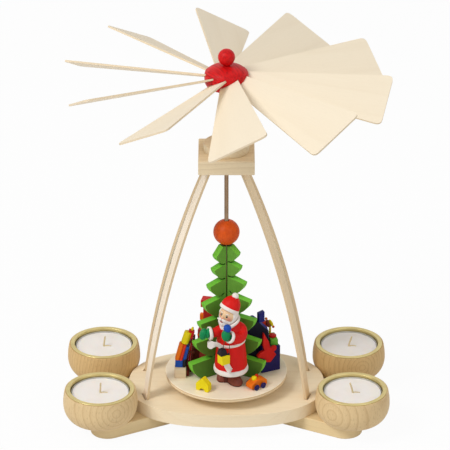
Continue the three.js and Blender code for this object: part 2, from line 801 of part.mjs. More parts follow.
// Places along the sleeves, from the shoulder to the wrist, and of the hands, in the figure's own frame
const reachingArm = {
  sleeve: [
    { x: -5.6, y: -1.5, z: 40.7 },
    { x: -8.8, y: -3.2, z: 40.3 },
    { x: -11.8, y: -4.6, z: 40.5 },
  ],
  hand: { x: -17.2, y: -5.9, z: 41 },
};
const carryingArm = {
  sleeve: [
    { x: 6, y: -0.4, z: 41.6 },
    { x: 8.6, y: -3.8, z: 38.6 },
    { x: 7.2, y: -8.8, z: 38.3 },
    { x: 2.4, y: -12.3, z: 40.9 },
  ],
  hand: { x: -2.2, y: -13.8, z: 42.9 },
};
const knob = { radius: 2.4, rise: 5.2 };
const reaching = joined(...armOf(reachingArm));
addPiece("figure_arm_left", reaching.subtract(robeRoom), finish.green);
const { x: handX, y: handY, z: handRise } = carryingArm.hand;
const knobBall = onFigure(ball(knob.radius).translate(handX, handY, handRise + knob.rise));
const carrying = joined(...armOf(carryingArm), knobBall);
addPiece("figure_arm_right", largest(carrying.subtract(robeRoom).subtract(headBody(seatGap))), finish.green);

// Lantern: a small house shape that hangs from the hand on a cord
const handRoom = solid(onFigure(ball(mitten.radius + seatGap).translate(handX, handY, handRise)));
function lanternBody() {
  const half = (lantern.side / 2 + lantern.eaves) * Math.SQRT2;
  const walls = box(lantern.side, lantern.side, lantern.height);
  const roof = rod(half, lantern.roof, 4, lantern.eaves).rotateZ(Math.PI / 4);
  roof.translate(0, 0, lantern.height - boreGap);
  for (const part of [walls, roof]) part.rotateZ(lantern.turn).translate(lantern.x, lantern.y, lantern.rise);
  const cordLow = lantern.rise + lantern.height;
  const cord = rod(lantern.cord, handRise - cordLow, tinySteps).translate(lantern.x, lantern.y, cordLow);
  return joined(onFigure(walls), onFigure(roof), onFigure(cord));
}
const lanternFree = lanternBody().subtract(robeRoom).subtract(handRoom).subtract(solid(knobBall));
addPiece("lantern", largest(lanternFree), finish.yellow);

// Puts a part of a toy on the stage, turned about the toy's own place
const onStage = (geometry, toy) => geometry.rotateZ(toy.turn).translate(toy.x, toy.y, discTop);
function blockOf({ width, depth, height, x, y, z, lean = 0 }) {
  return box(width, depth, height).rotateY(lean).translate(x, y, z);
}
function pegOf({ radius, length, x, y, z, lean = 0 }) {
  return rod(radius, length, smallSteps).rotateY(lean).translate(x, y, z);
}

// A toy made of blocks and pegs only, cut off flat at the stage
function stackBody(toy) {
  const parts = [...toy.blocks.map(blockOf), ...toy.pegs.map(pegOf)];
  const room = box(disc.radius * 2, disc.radius * 2, tree.height).translate(0, 0, discTop);
  return joined(...parts.map((part) => onStage(part, toy))).intersect(solid(room));
}

function houseBody() {
  const half = house.width / 2;
  const { eaves, ridge, thickness, arch } = house;
  const outline = polygon([[-half, 0], [half, 0], [half, eaves], [0, ridge], [-half, eaves]]);
  const wall = upright(slab(outline, thickness), 0);
  const gate = rod(arch, thickness + 2 * overrun, smallSteps).translate(0, 0, -thickness / 2 - overrun);
  return solid(onStage(wall, house)).subtract(solid(onStage(gate.rotateX(Math.PI / 2), house)));
}

// Car: a low body with two axles of wheels and a driver's peg
function carBody() {
  const reach = car.width / 2 + car.tread;
  const side = polygon(car.sideShares.map(([along, up]) => [car.length * along, car.roof * up]));
  const parts = [upright(slab(side, car.width), 0), pegOf(car.driver)];
  for (const end of [-1, 1]) {
    const axle = rod(car.wheel, 2 * reach, smallSteps).rotateX(Math.PI / 2);
    parts.push(axle.translate((end * car.base) / 2, reach, car.wheel));
  }
  return joined(...parts.map((part) => onStage(part, car)));
}

// Navy chest with a slanted box on it, and on the box a knob and a chimney
function navyChestBody() {
  const { width, depth, height, chimney } = navyChest;
  const half = chimney.width / 2;
  const front = [[-half, chimney.low], [half, chimney.low], [half, chimney.rightTop], [-half, chimney.leftTop]];
  const stack = upright(slab(polygon(front), chimney.depth), 0).translate(chimney.x, chimney.y, 0);
  const { length, low, rightTop, leftTop, shoulder, knob } = slantedBox;
  const side = [[-length, low], [0, low], [0, rightTop], [-shoulder, leftTop], [-length, leftTop]];
  const wedge = upright(slab(polygon(side), slantedBox.depth), 0).translate(0, slantedBox.depth / 2, 0);
  const knobBall = ball(knob.radius, tinySteps).translate(knob.x, knob.y, knob.z);
  const onChest = [box(width, depth, height), stack].map((part) => onStage(part, navyChest));
  return joined(...onChest, ...[wedge, knobBall].map((part) => onStage(part, slantedBox)));
}

// Star on the front of the navy chest, notched round the tree's vane
function starBody() {
  const forward = navyChest.depth / 2 + star.thickness / 2;
  const outline = star.outlineShares.map(([across, up]) => [star.width * across, star.height * up]);
  const flat = upright(slab(polygon(outline), star.thickness), 0);
  const vane = vaneBody(2, seatGap);
  const room = vane.add(vane.translate([0, 0, seatGap])).add(vane.translate([seatGap, 0, 0]));
  return solid(onStage(flat.translate(star.side, -forward, star.rise), navyChest)).subtract(room);
}
addPiece("toy_house", houseBody(), finish.yellow);
addPiece("toy_car", carBody(), finish.orange);
addPiece("toy_train", stackBody(train), finish.red);
addPiece("toy_red_chest", stackBody(redChest), finish.red);
addPiece("toy_navy_chest", navyChestBody(), finish.navy);
addPiece("toy_star", largest(starBody()), finish.red);
addPiece("toy_green_chest", stackBody(greenChest), finish.green);

export default carousel;
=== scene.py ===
"""Looks of a wooden candle carousel, built round its fixed frame.

The frame gives every node's place. This script gives the legs, blades and top block their finishes, and
builds finer pieces for all other nodes. Lengths in the classes are millimetres, in the frame's own axes:
+Z up, -Y to the front.
"""

import logging
from dataclasses import dataclass, field, replace
from enum import Enum
from math import acos, atan2, copysign, cos, degrees, exp, hypot, pi, radians, sin, tan, tau
from typing import Callable, Iterable, Sequence

import bmesh
import bpy
from bpy.types import Material, Mesh, Object
from mathutils import Matrix, Vector, noise


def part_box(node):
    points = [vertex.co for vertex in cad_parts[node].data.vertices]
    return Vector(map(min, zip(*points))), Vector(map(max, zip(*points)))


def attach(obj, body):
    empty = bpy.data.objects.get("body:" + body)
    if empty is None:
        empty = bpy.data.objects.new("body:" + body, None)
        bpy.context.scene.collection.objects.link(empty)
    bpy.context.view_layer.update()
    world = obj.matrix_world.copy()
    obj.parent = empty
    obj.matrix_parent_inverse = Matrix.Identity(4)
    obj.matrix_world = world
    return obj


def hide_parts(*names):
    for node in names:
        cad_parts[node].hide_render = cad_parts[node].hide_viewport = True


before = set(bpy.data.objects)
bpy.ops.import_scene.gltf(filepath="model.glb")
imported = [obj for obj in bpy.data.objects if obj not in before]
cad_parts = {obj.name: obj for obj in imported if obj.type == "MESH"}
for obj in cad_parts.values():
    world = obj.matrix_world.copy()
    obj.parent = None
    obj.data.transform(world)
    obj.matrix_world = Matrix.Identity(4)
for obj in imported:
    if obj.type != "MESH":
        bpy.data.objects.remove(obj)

LOG = logging.getLogger("candle_carousel")
MM = 0.001
UP = Vector((0, 0, 1))
STAGE_TOP = 28.9  # the upper face of the disc that turns
FIT = 0.2  # round a piece that is let into another
NOISE_SEED = 7  # so that the carved fur is the same each run

Screen = tuple[int, int, int]
Colour = tuple[float, float, float]
Triple = tuple[float, float, float]
Profile = Sequence[tuple[float, float]]
Line = Sequence[Sequence[float]]
Reshape = Callable[[Vector], Vector]


class Body(Enum):
    """The rigid bodies that a piece can ride on, besides the four tea lights."""

    STAND = "stand"
    ROTOR = "rotor"


class Slot(Enum):
    """The record's material slots."""

    MAPLE = "maple"
    VENEER = "blade_veneer"
    BEECH = "beech"
    BRASS = "brass"
    ALUMINIUM = "aluminium"
    WAX = "wax"
    STEEL = "steel"
    RED = "red_paint"
    ORANGE = "orange_paint"
    GREEN = "green_paint"
    BROWN = "brown_paint"
    CREAM = "cream_paint"
    YELLOW = "yellow_paint"
    NAVY = "navy_paint"


def linear(colour: Screen, share: float = 1) -> Colour:
    """Turns a screen's colour into the linear values that a shader takes.

    Args:
        colour: The red, green and blue, each 0 to 255.
        share: How much of its light is left.

    Returns:
        The three linear values.
    """
    values = [value / 255 for value in colour]
    return tuple(share * (v / 12.92 if v <= 0.04045 else ((v + 0.055) / 1.055) ** 2.4) for v in values)


class Value:
    """A shader socket. Arithmetic on it adds Math nodes."""

    def __init__(self, graph: "Graph", socket: bpy.types.NodeSocket | None) -> None:
        """Wraps a socket of one of a graph's nodes."""
        self.graph = graph
        self.socket = socket

    def _maths(self, operation: str, *values: "Value | float") -> "Value":
        """One Math node on the values."""
        return self.graph.node("ShaderNodeMath", {"operation": operation}, dict(enumerate(values)))

    def __add__(self, other: "Value | float") -> "Value":
        """Adds."""
        return self._maths("ADD", self, other)

    def __mul__(self, other: "Value | float") -> "Value":
        """Multiplies."""
        return self._maths("MULTIPLY", self, other)

    def __sub__(self, other: "Value | float") -> "Value":
        """Subtracts."""
        return self._maths("SUBTRACT", self, other)

    def __rsub__(self, other: float) -> "Value":
        """Subtracts this from a number."""
        return self._maths("SUBTRACT", other, self)

    def __truediv__(self, other: "Value | float") -> "Value":
        """Divides."""
        return self._maths("DIVIDE", self, other)

    def __abs__(self) -> "Value":
        """The size without its sign."""
        return self._maths("ABSOLUTE", self)

    def fraction(self) -> "Value":
        """What is left after the whole number."""
        return self._maths("FRACT", self)

    def sine(self) -> "Value":
        """The sine of this angle."""
        return self._maths("SINE", self)

    def ramp(self, *stops: tuple[float, float]) -> "Value":
        """Maps this to other numbers through a smooth ramp of (place, number) stops."""
        greys = tuple((place, (number, number, number)) for place, number in stops)
        return self.graph.node("ShaderNodeValToRGB", {"stops": greys}, {"Fac": self})


class Graph:
    """A node tree under construction. All its nodes come from one method."""

    def __init__(self, tree: bpy.types.NodeTree) -> None:
        """Starts from an empty tree."""
        self.tree = tree
        tree.nodes.clear()

    def node(
        self, kind: str, settings: dict[str, object] | None = None,
        inputs: dict[str | int, object] | None = None, output: str | int = 0,
    ) -> Value:
        """Adds a node of any type.

        Args:
            kind: The node's type.
            settings: Its properties, set first. "stops" are a ramp's (place, colour) pairs.
            inputs: Values or links for its sockets, by name or number.
            output: Which output to give back.

        Returns:
            The output as a value.
        """
        made = self.tree.nodes.new(kind)
        for key, setting in (settings or {}).items():
            if key == "stops":
                self._set_stops(made.color_ramp, setting)
            else:
                setattr(made, key, setting)
        for key, given in (inputs or {}).items():
            self._feed(made.inputs[key], given)
        return Value(self, made.outputs[output] if made.outputs else None)

    @staticmethod
    def _set_stops(ramp: bpy.types.ColorRamp, stops: Sequence[tuple[float, Colour]]) -> None:
        """Gives a ramp its stops.

        Args:
            ramp: The ramp.
            stops: Its (place, colour) pairs.
        """
        while len(ramp.elements) < len(stops):
            ramp.elements.new(0.5)
        for element, (place, colour) in zip(ramp.elements, stops):
            element.position = place
            element.color = (*colour, 1)

    def _feed(self, socket: bpy.types.NodeSocket, given: object) -> None:
        """Links or sets one input.

        Args:
            socket: The input.
            given: A value of the graph, or a plain one.
        """
        if isinstance(given, Value):
            self.tree.links.new(given.socket, socket)
        elif isinstance(given, tuple) and len(given) == 3 and socket.type == "RGBA":
            socket.default_value = (*given, 1)
        else:
            socket.default_value = given

    def vector(self, operation: str, *values: object, output: str | int = 0, **named: object) -> Value:
        """Adds a Vector Math node on the values."""
        inputs = {**dict(enumerate(values)), **named}
        return self.node("ShaderNodeVectorMath", {"operation": operation}, inputs, output)

    def noise(self, place: Value, scale: float, detail: float = 2, roughness: float = 0.5) -> Value:
        """Soft noise of 0 to 1 at a place."""
        inputs = {"Vector": place, "Scale": scale, "Detail": detail, "Roughness": roughness}
        return self.node("ShaderNodeTexNoise", None, inputs)

    def mix(self, share: Value | float, first: object, second: object) -> Value:
        """A colour between two, share 0 being the first."""
        settings = {"data_type": "RGBA", "clamp_factor": True}
        return self.node("ShaderNodeMix", settings, {0: share, 6: first, 7: second}, 2)


class Shader(Graph):
    """A material under construction, with one principled shader. Its place is in millimetres."""

    def __init__(self, name: str) -> None:
        """Starts an empty material.

        Args:
            name: The material's name.
        """
        self.material = bpy.data.materials.new(name)
        self.material.use_nodes = True
        super().__init__(self.material.node_tree)
        self.surface = self.node("ShaderNodeBsdfPrincipled")
        self.node("ShaderNodeOutputMaterial", None, {"Surface": self.surface})
        place = self.node("ShaderNodeTexCoord", output="Object")
        self.place = self.vector("SCALE", place, Scale=1 / MM)

    def set(self, **sockets: object) -> None:
        """Feeds the surface's sockets. An underscore in a name stands for a space."""
        for name, given in sockets.items():
            self._feed(self.surface.socket.node.inputs[name.replace("_", " ")], given)

    def bump(self, height: Value, depth: float, strength: float = 1) -> None:
        """Gives the surface its fine relief, depth in millimetres."""
        relief = {"Height": height, "Distance": depth * MM, "Strength": strength}
        self.set(Normal=self.node("ShaderNodeBump", None, relief))


@dataclass(frozen=True)
class Wood:
    """Bare wood with growth rings round a pith, fibres along the grain and small flecks; a side colour, where
    given, darkens its narrow sides, partly as cut wood and partly as painted shade.
    """

    name: str
    light: Screen
    dark: Screen
    grain: Triple = (1, 0, 0)
    pith: Triple = (0, 40, -60)
    ring: float = 3.2
    ring_depth: float = 0.45
    warp: float = 6
    fibre_axis: Triple | None = None
    fibre_depth: float = 0.5
    mottle: float = 0.25
    fleck: float = 0.0
    roughness: float = 0.62
    specular: float = 0.28
    side: Screen | None = None
    side_normal: Triple | None = None
    face_normal: Triple = (0, 0, 1)
    side_limit: float = 0.7

    def material(self) -> Material:
        """Builds the wood's material.

        Returns:
            The material.
        """
        shader = Shader(self.name)
        grain = tuple(Vector(self.grain).normalized())
        fibre_axis = tuple(Vector(self.fibre_axis or self.grain).normalized())
        from_pith = shader.vector("SUBTRACT", shader.place, self.pith)
        along = shader.vector("DOT_PRODUCT", from_pith, fibre_axis, output="Value")
        radius = shader.vector("LENGTH", shader.vector("CROSS_PRODUCT", from_pith, grain), output="Value")

        def drawn_out(share: float) -> Value:
            """The place, squeezed to a share along the fibres, for marks that run along them."""
            squeeze = shader.vector("SCALE", fibre_axis, Scale=along * (share - 1))
            return shader.vector("ADD", from_pith, squeeze)

        wander = shader.noise(drawn_out(0.12), 0.035, 3)
        rings = ((radius + (wander - 0.5) * (2 * self.warp)) / self.ring).fraction()
        late_wood = rings.ramp((0, 0.05), (0.66, 0.25), (0.9, 1), (1, 0.05))
        fibre = shader.noise(drawn_out(0.03), 1.1, 4, 0.6)
        mottle = shader.noise(drawn_out(0.3), 0.06, 2)
        shade = late_wood * self.ring_depth + (fibre - 0.5) * self.fibre_depth + (mottle - 0.45) * self.mottle
        colour = shader.mix(shade, linear(self.light), linear(self.dark))
        if self.fleck:
            dashes = shader.noise(drawn_out(0.25), 1.5, 1).ramp((0.58, 0), (0.7, 1))
            colour = shader.mix(dashes * self.fleck, colour, linear(self.dark, 0.55))
        # Partly painted shade: the narrow sides take a darker colour.
        if self.side:
            sawn = shader.mix(shade * 0.5, linear(self.side), linear(self.side, 0.8))
            colour = shader.mix(self.side_shade_mask(shader), colour, sawn)
        shader.set(Base_Color=colour, Roughness=(fibre - 0.5) * 0.16 + self.roughness)
        shader.set(Specular_IOR_Level=self.specular)
        shader.bump(fibre * 0.6 + late_wood * 0.4, 0.05, 0.3)
        return shader.material

    def side_shade_mask(self, shader: Shader) -> Value:
        """1 on a board's narrow sides, which take the darker side colour, partly painted shade: where it
        faces along side_normal, or away from face_normal.

        Args:
            shader: The material under construction.

        Returns:
            The mask.
        """
        normal = shader.node("ShaderNodeTexCoord", output="Normal")
        axis = self.side_normal or self.face_normal
        facing = abs(shader.vector("DOT_PRODUCT", normal, axis, output="Value"))
        over = facing.ramp((self.side_limit - 0.08, 0), (self.side_limit + 0.08, 1))
        return over if self.side_normal else 1 - over


@dataclass(frozen=True)
class Paint:
    """Paint or stain on wood: a thin coat with brush marks, a little of the fibre, and uneven depth."""

    name: str
    colour: Screen
    shade: Screen
    roughness: float = 0.46
    grain: Triple = (0, 0, 1)
    uneven: float = 0.5
    fibre: float = 0.35
    coat: float = 0.0
    relief: float = 0.05
    specular: float = 0.2

    def material(self) -> Material:
        """Builds the paint's material.

        Returns:
            The material.
        """
        shader = Shader(self.name)
        place = shader.place
        grain = tuple(Vector(self.grain).normalized())
        along = shader.vector("DOT_PRODUCT", place, grain, output="Value")
        drawn = shader.vector("ADD", place, shader.vector("SCALE", grain, Scale=along * -0.94))
        streaks = shader.noise(drawn, 0.9, 3, 0.6)
        clouds = shader.noise(place, 0.22, 3)
        grains = shader.noise(place, 2.6, 2)
        depth = (streaks - 0.5) * self.fibre + (clouds - 0.42) * self.uneven + 0.12
        shader.set(
            Base_Color=shader.mix(depth, linear(self.colour), linear(self.shade)),
            Roughness=(streaks - 0.5) * 0.2 + (grains - 0.5) * 0.1 + self.roughness,
            Specular_IOR_Level=self.specular,
        )
        if self.coat:
            shader.set(Coat_Weight=self.coat, Coat_Roughness=0.25)
        shader.bump(streaks * 0.7 + grains * 0.3, self.relief, 0.6)
        return shader.material


@dataclass(frozen=True)
class SawnPaint:
    """Stain on a sawn board: deep and dull on the broad faces, brighter where the edges were sanded, both
    partly painted light and shade; painted shade also darkens its cuts, corners and, where asked, its lower
    faces.
    """

    name: str
    edge: Screen
    face: Screen
    face_normal: Triple
    roughness: float = 0.6
    # How far the painted shade in cuts and corners reaches, and how much painted shade the broad faces take
    # toward the foot, between two heights.
    painted_crevice_shade_reach: float = 2.2
    painted_foot_shade: float = 0.0
    painted_foot_shade_ends: tuple[float, float] = (40, 100)

    def material(self) -> Material:
        """Builds the stain's material.

        Returns:
            The material.
        """
        shader = Shader(self.name)
        place = shader.place
        normal = shader.node("ShaderNodeTexCoord", output="Normal")
        facing = abs(shader.vector("DOT_PRODUCT", normal, self.face_normal, output="Value"))
        broad = facing.ramp((0.35, 0), (0.8, 1))
        upright = shader.vector("MULTIPLY", place, (1, 1, 0.12))
        fibre = shader.noise(upright, 1.2, 4, 0.65)
        clouds = shader.noise(place, 0.12, 3)
        # Partly painted light: the edges are lifted above their colour, as sanding and as the light that
        # catches them; the broad faces deepen, partly as painted shade.
        pale = tuple(min(1.0, 1.3 * share + 0.01) for share in linear(self.edge))
        deep = linear(self.face, 0.62)
        edges = shader.mix((fibre - 0.4) * 0.8, linear(self.edge), pale)
        faces = shader.mix((fibre - 0.42) * 0.9 + (clouds - 0.45) * 0.9, linear(self.face), deep)
        # Painted shade: the broad faces darken toward the foot, between the two heights.
        height = shader.node("ShaderNodeSeparateXYZ", None, {"Vector": place}, 2)
        low, high = self.painted_foot_shade_ends
        painted_foot_shade_share = ((height - low) / (high - low)).ramp((0, 1), (1, 0))
        faces = shader.mix(painted_foot_shade_share * self.painted_foot_shade, faces, deep)
        # Painted shade: an occlusion node darkens saw cuts, corners and joins toward a near black copy of the
        # face colour.
        reach = {"Distance": self.painted_crevice_shade_reach * MM}
        openness = shader.node("ShaderNodeAmbientOcclusion", {"samples": 8}, reach, "AO")
        painted_crevice_shade = openness.ramp((0.34, 0.95), (0.66, 0))
        dark = linear(self.face, 0.12)
        shader.set(
            Base_Color=shader.mix(painted_crevice_shade, shader.mix(broad, edges, faces), dark),
            Roughness=(fibre - 0.5) * 0.2 + self.roughness, Specular_IOR_Level=0.25,
        )
        shader.bump(fibre, 0.12, 0.6)
        return shader.material


@dataclass(frozen=True)
class Metal:
    """Thin sheet or rod metal with fine rubbed lines round the Z axis and faint tarnish."""

    name: str
    colour: Screen
    tarnish: Screen
    roughness: float = 0.3
    metallic: float = 1.0
    lines: Triple = (0.2, 0.2, 3)

    def material(self) -> Material:
        """Builds the metal's material.

        Returns:
            The material.
        """
        shader = Shader(self.name)
        place = shader.place
        rubbed = shader.noise(shader.vector("MULTIPLY", place, self.lines), 1.6, 3)
        cloud = shader.noise(place, 0.12, 3)
        worn = (cloud - 0.4) * 1.1 + (rubbed - 0.5) * 0.3
        shader.set(
            Base_Color=shader.mix(worn, linear(self.colour), linear(self.tarnish)), Metallic=self.metallic,
            Roughness=(rubbed - 0.5) * 0.22 + (cloud - 0.5) * 0.12 + self.roughness,
        )
        shader.bump(rubbed, 0.02, 0.1)
        return shader.material


@dataclass(frozen=True)
class Wax:
    """Ivory wax: light goes a little way in, and the face has faint flow marks."""

    name: str
    colour: Screen
    warm: Screen
    roughness: float = 0.42

    def material(self) -> Material:
        """Builds the wax's material.

        Returns:
            The material.
        """
        shader = Shader(self.name)
        place = shader.place
        flow = shader.noise(place, 0.11, 3)
        crystals = shader.noise(place, 1.5, 2)
        shader.set(
            Base_Color=shader.mix((flow - 0.4) * 1.2, linear(self.colour), linear(self.warm)),
            Roughness=(flow - 0.5) * 0.2 + (crystals - 0.5) * 0.1 + self.roughness, Subsurface_Weight=0.25,
            Subsurface_Radius=(0.004, 0.003, 0.002), Subsurface_Scale=1.0,
        )
        shader.bump(flow * 0.7 + crystals * 0.3, 0.12, 0.4)
        return shader.material


@dataclass(frozen=True)
class Twist:
    """Twisted cotton, for wicks and cords: slanted strands round the thread."""

    name: str
    colour: Screen
    shade: Screen
    pitch: float = 0.5

    def material(self) -> Material:
        """Builds the thread's material.

        Returns:
            The material.
        """
        shader = Shader(self.name)
        place = shader.place
        slant = shader.vector("DOT_PRODUCT", place, (0.8, 0.8, 1.2), output="Value")
        strands = (slant * (tau / self.pitch)).sine() * 0.5 + 0.5
        fuzz = shader.noise(place, 3, 2)
        shader.set(
            Base_Color=shader.mix(strands * 0.6 + (fuzz - 0.5), linear(self.shade), linear(self.colour)),
            Roughness=0.85,
        )
        shader.bump(strands * 0.8 + fuzz * 0.2, 0.12, 0.7)
        return shader.material


@dataclass
class Form:
    """A mesh under construction: its corners in millimetres, and faces that name them by number."""

    points: list[Vector] = field(default_factory=list)
    faces: list[tuple[int, ...]] = field(default_factory=list)

    def corner(self, x: float, y: float, z: float) -> int:
        """Adds a corner and gives its number."""
        self.points.append(Vector((x, y, z)))
        return len(self.points) - 1

    def __add__(self, other: "Form") -> "Form":
        """Both forms in one."""
        moved = [tuple(number + len(self.points) for number in face) for face in other.faces]
        return Form([*self.points, *(point.copy() for point in other.points)], [*self.faces, *moved])

    def reshaped(self, rule: Reshape) -> "Form":
        """The form with every corner moved by a rule."""
        return Form([rule(point.copy()) for point in self.points], list(self.faces))

    def moved(self, x: float = 0, y: float = 0, z: float = 0) -> "Form":
        """The form moved."""
        return self.reshaped(lambda point: point + Vector((x, y, z)))

    def turned(self, angle: float, axis: str = "Z") -> "Form":
        """The form turned about an axis through its origin, the angle in degrees."""
        turn = Matrix.Rotation(radians(angle), 3, axis)
        return self.reshaped(lambda point: turn @ point)

    def scaled(self, x: float = 1, y: float = 1, z: float = 1) -> "Form":
        """The form stretched along the axes."""
        return self.reshaped(lambda point: Vector((point.x * x, point.y * y, point.z * z)))

    def upright(self, heading: float) -> "Form":
        """A flat form stood up: its x runs along the heading in degrees, its y runs up.

        Args:
            heading: Where its x runs.

        Returns:
            The upright form.
        """
        along = Vector((cos(radians(heading)), sin(radians(heading)), 0))
        across = along.cross(UP)
        return self.reshaped(lambda point: along * point.x + Vector((0, 0, point.y)) + across * point.z)

    def aimed(self, direction: Vector) -> "Form":
        """The form with its z axis turned to a direction."""
        turn = UP.rotation_difference(direction)
        return self.reshaped(lambda point: turn @ point)

    def mesh(self, name: str) -> Mesh:
        """Builds the mesh in metres, with its faces all looking outward.

        Args:
            name: The mesh's name.

        Returns:
            The mesh.
        """
        mesh = bpy.data.meshes.new(name)
        mesh.from_pydata([tuple(point * MM) for point in self.points], [], self.faces)
        work = bmesh.new()
        work.from_mesh(mesh)
        bmesh.ops.recalc_face_normals(work, faces=work.faces)
        work.to_mesh(mesh)
        work.free()
        return mesh


def lathe(profile: Profile, steps: int = 96, loop: bool = False) -> Form:
    """Turns a profile about the z axis.

    Args:
        profile: The (radius, height) pairs, from one end to the other.
        steps: How many steps go round.
        loop: Whether the last ring joins the first, as on a bored body.

    Returns:
        The turned form.
    """
    form = Form()
    rings = []
    for radius, height in profile:
        angles = [tau * step / steps for step in range(steps if radius > 1e-6 else 1)]
        rings.append([form.corner(radius * cos(a), radius * sin(a), height) for a in angles])
    pairs = list(zip(rings, rings[1:])) + ([(rings[-1], rings[0])] if loop else [])
    for low, high in pairs:
        for step in range(steps):
            after = (step + 1) % steps
            places = ((low, step), (low, after), (high, after), (high, step))
            face = tuple(dict.fromkeys(ring[place % len(ring)] for ring, place in places))
            if len(face) > 2:
                form.faces.append(face)
    return form


def flowing(points: Line, steps: int = 6) -> list[tuple[float, ...]]:
    """A smooth line through points of any dimension.

    Args:
        points: The points that it passes through.
        steps: How many steps go between two of them.

    Returns:
        The points of the smooth line.
    """
    ends = [points[0], *points, points[-1]]
    line: list[tuple[float, ...]] = []
    for before, start, end, after in zip(ends, ends[1:], ends[2:], ends[3:]):
        for step in range(steps):
            t = step / steps
            place = []
            for p, q, r, s in zip(before, start, end, after):
                curve = 2 * q + (r - p) * t
                curve += (2 * p - 5 * q + 4 * r - s) * t**2
                curve += (3 * q - p - 3 * r + s) * t**3
                place.append(0.5 * curve)
            line.append(tuple(place))
    return [*line, tuple(points[-1])]


def shares_of(path: Sequence[object]) -> list[float]:
    """How far along a path each of its points is, from 0 to 1."""
    return [step / (len(path) - 1) for step in range(len(path))]


def rounded(profile: Profile, radius: float, steps: int = 4) -> list[tuple[float, float]]:
    """A flat line with its inner corners rounded off.

    Args:
        profile: The line's points.
        radius: How far from a corner its rounding starts.
        steps: How many steps a rounding has.

    Returns:
        The rounded line.
    """
    points = [Vector(point) for point in profile]
    line = [tuple(points[0])]
    for before, corner, after in zip(points, points[1:], points[2:]):
        back, ahead = before - corner, after - corner
        reach = min(radius, back.length * 0.45, ahead.length * 0.45)
        start, end = corner + back.normalized() * reach, corner + ahead.normalized() * reach
        for step in range(steps + 1):
            t = step / steps
            line.append(tuple(start * (1 - t) ** 2 + corner * (2 * t * (1 - t)) + end * t**2))
    return [*line, tuple(points[-1])]


def ball(radius: float = 1, steps: int = 48) -> Form:
    """A round ball about the origin.

    Args:
        radius: Its radius.
        steps: How many steps go round.

    Returns:
        The ball.
    """
    half = steps // 2
    angles = [pi * step / half - pi / 2 for step in range(half + 1)]
    profile = [(radius * cos(a), radius * sin(a)) for a in angles]
    profile[0], profile[-1] = (0, -radius), (0, radius)
    return lathe(profile, steps)


def tube(path: Line, radii: Sequence[float], steps: int = 24, flat: float = 1) -> Form:
    """A rod of any thickness along a path, closed at both ends.

    Args:
        path: The points of its middle line.
        radii: Its half thickness at each of them.
        steps: How many steps go round.
        flat: The section's height as a share of its width.

    Returns:
        The rod.
    """
    places = [Vector(place) for place in path]
    form = Form()
    rings = []
    side = UP
    for number, (place, radius) in enumerate(zip(places, radii)):
        ahead = places[min(number + 1, len(places) - 1)] - places[max(number - 1, 0)]
        ahead.normalize()
        if abs(ahead.dot(side)) > 0.99:
            side = Vector((0, 1, 0)) if abs(ahead.y) < 0.9 else Vector((1, 0, 0))
        side = (side - ahead * side.dot(ahead)).normalized()
        across = ahead.cross(side)
        ring = []
        for step in range(steps):
            angle = tau * step / steps
            offset = across * cos(angle) + side * (sin(angle) * flat)
            ring.append(form.corner(*(place + offset * radius)))
        rings.append(ring)
    for low, high in zip(rings, rings[1:]):
        for step in range(steps):
            after = (step + 1) % steps
            form.faces.append((low[step], low[after], high[after], high[step]))
    form.faces += [tuple(rings[0]), tuple(rings[-1])]
    return form


def prism(outline: Profile, thickness: float) -> Form:
    """A flat board cut to an outline, centred on its thickness.

    Args:
        outline: The points round its edge.
        thickness: Its thickness.

    Returns:
        The board.
    """
    form = Form()
    low = [form.corner(x, y, -thickness / 2) for x, y in outline]
    high = [form.corner(x, y, thickness / 2) for x, y in outline]
    count = len(outline)
    form.faces = [tuple(reversed(low)), tuple(high)]
    for here in range(count):
        after = (here + 1) % count
        form.faces.append((low[here], low[after], high[after], high[here]))
    return form


def block(width: float, depth: float, height: float) -> Form:
    """A squared piece of wood that stands on z = 0."""
    outline = [(-width / 2, 0), (width / 2, 0), (width / 2, height), (-width / 2, height)]
    return prism(outline, depth).upright(0)


def ribbon(path: Line, sides: Line, width: float, thick: float) -> Form:
    """A flat strip along a path.

    Args:
        path: The points of its middle line.
        sides: The direction across the strip, at each of them.
        width: The strip's width.
        thick: The strip's thickness.

    Returns:
        The strip.
    """
    places = [Vector(place) for place in path]
    form = Form()
    rings = []
    for number, (place, side) in enumerate(zip(places, sides)):
        ahead = (places[min(number + 1, len(places) - 1)] - places[max(number - 1, 0)]).normalized()
        across = Vector(side)
        across = (across - ahead * across.dot(ahead)).normalized()
        up = ahead.cross(across)
        edge = (-1, -0.5, 0, 0.5, 1)
        corners = [*((a, -1) for a in edge), *((a, 1) for a in reversed(edge))]
        ring = [place + across * (a * width / 2) + up * (b * thick / 2) for a, b in corners]
        rings.append([form.corner(*corner) for corner in ring])
    for low, high in zip(rings, rings[1:]):
        for step in range(len(low)):
            after = (step + 1) % len(low)
            form.faces.append((low[step], low[after], high[after], high[step]))
    form.faces += [tuple(rings[0]), tuple(rings[-1])]
    return form


def uneven(amount: float, scale: float, seed: float = 0) -> Reshape:
    """A rule that moves corners a little, as on a hand made form.

    Args:
        amount: How far a corner moves at most.
        scale: How fine the noise is.
        seed: Which noise it is.

    Returns:
        The rule.
    """

    def rule(point: Vector) -> Vector:
        """Moves one corner by soft noise."""
        place = point * scale + Vector((seed, seed * 0.7, -seed))
        return point + noise.noise_vector(place) * amount

    return rule


def carve(target: Object, cutter: Form | Mesh, operation: str = "DIFFERENCE") -> None:
    """Cuts an object with a form.

    Args:
        target: The object to cut.
        cutter: What it is cut with.
        operation: The kind of boolean.
    """
    mesh = cutter.mesh("cutter") if isinstance(cutter, Form) else cutter
    tool = linked("cutter", mesh)
    cut = target.modifiers.new("cut", "BOOLEAN")
    cut.operation = operation
    cut.solver = "EXACT"
    cut.object = tool
    settle(target)
    bpy.data.objects.remove(tool)
    bpy.data.meshes.remove(mesh)


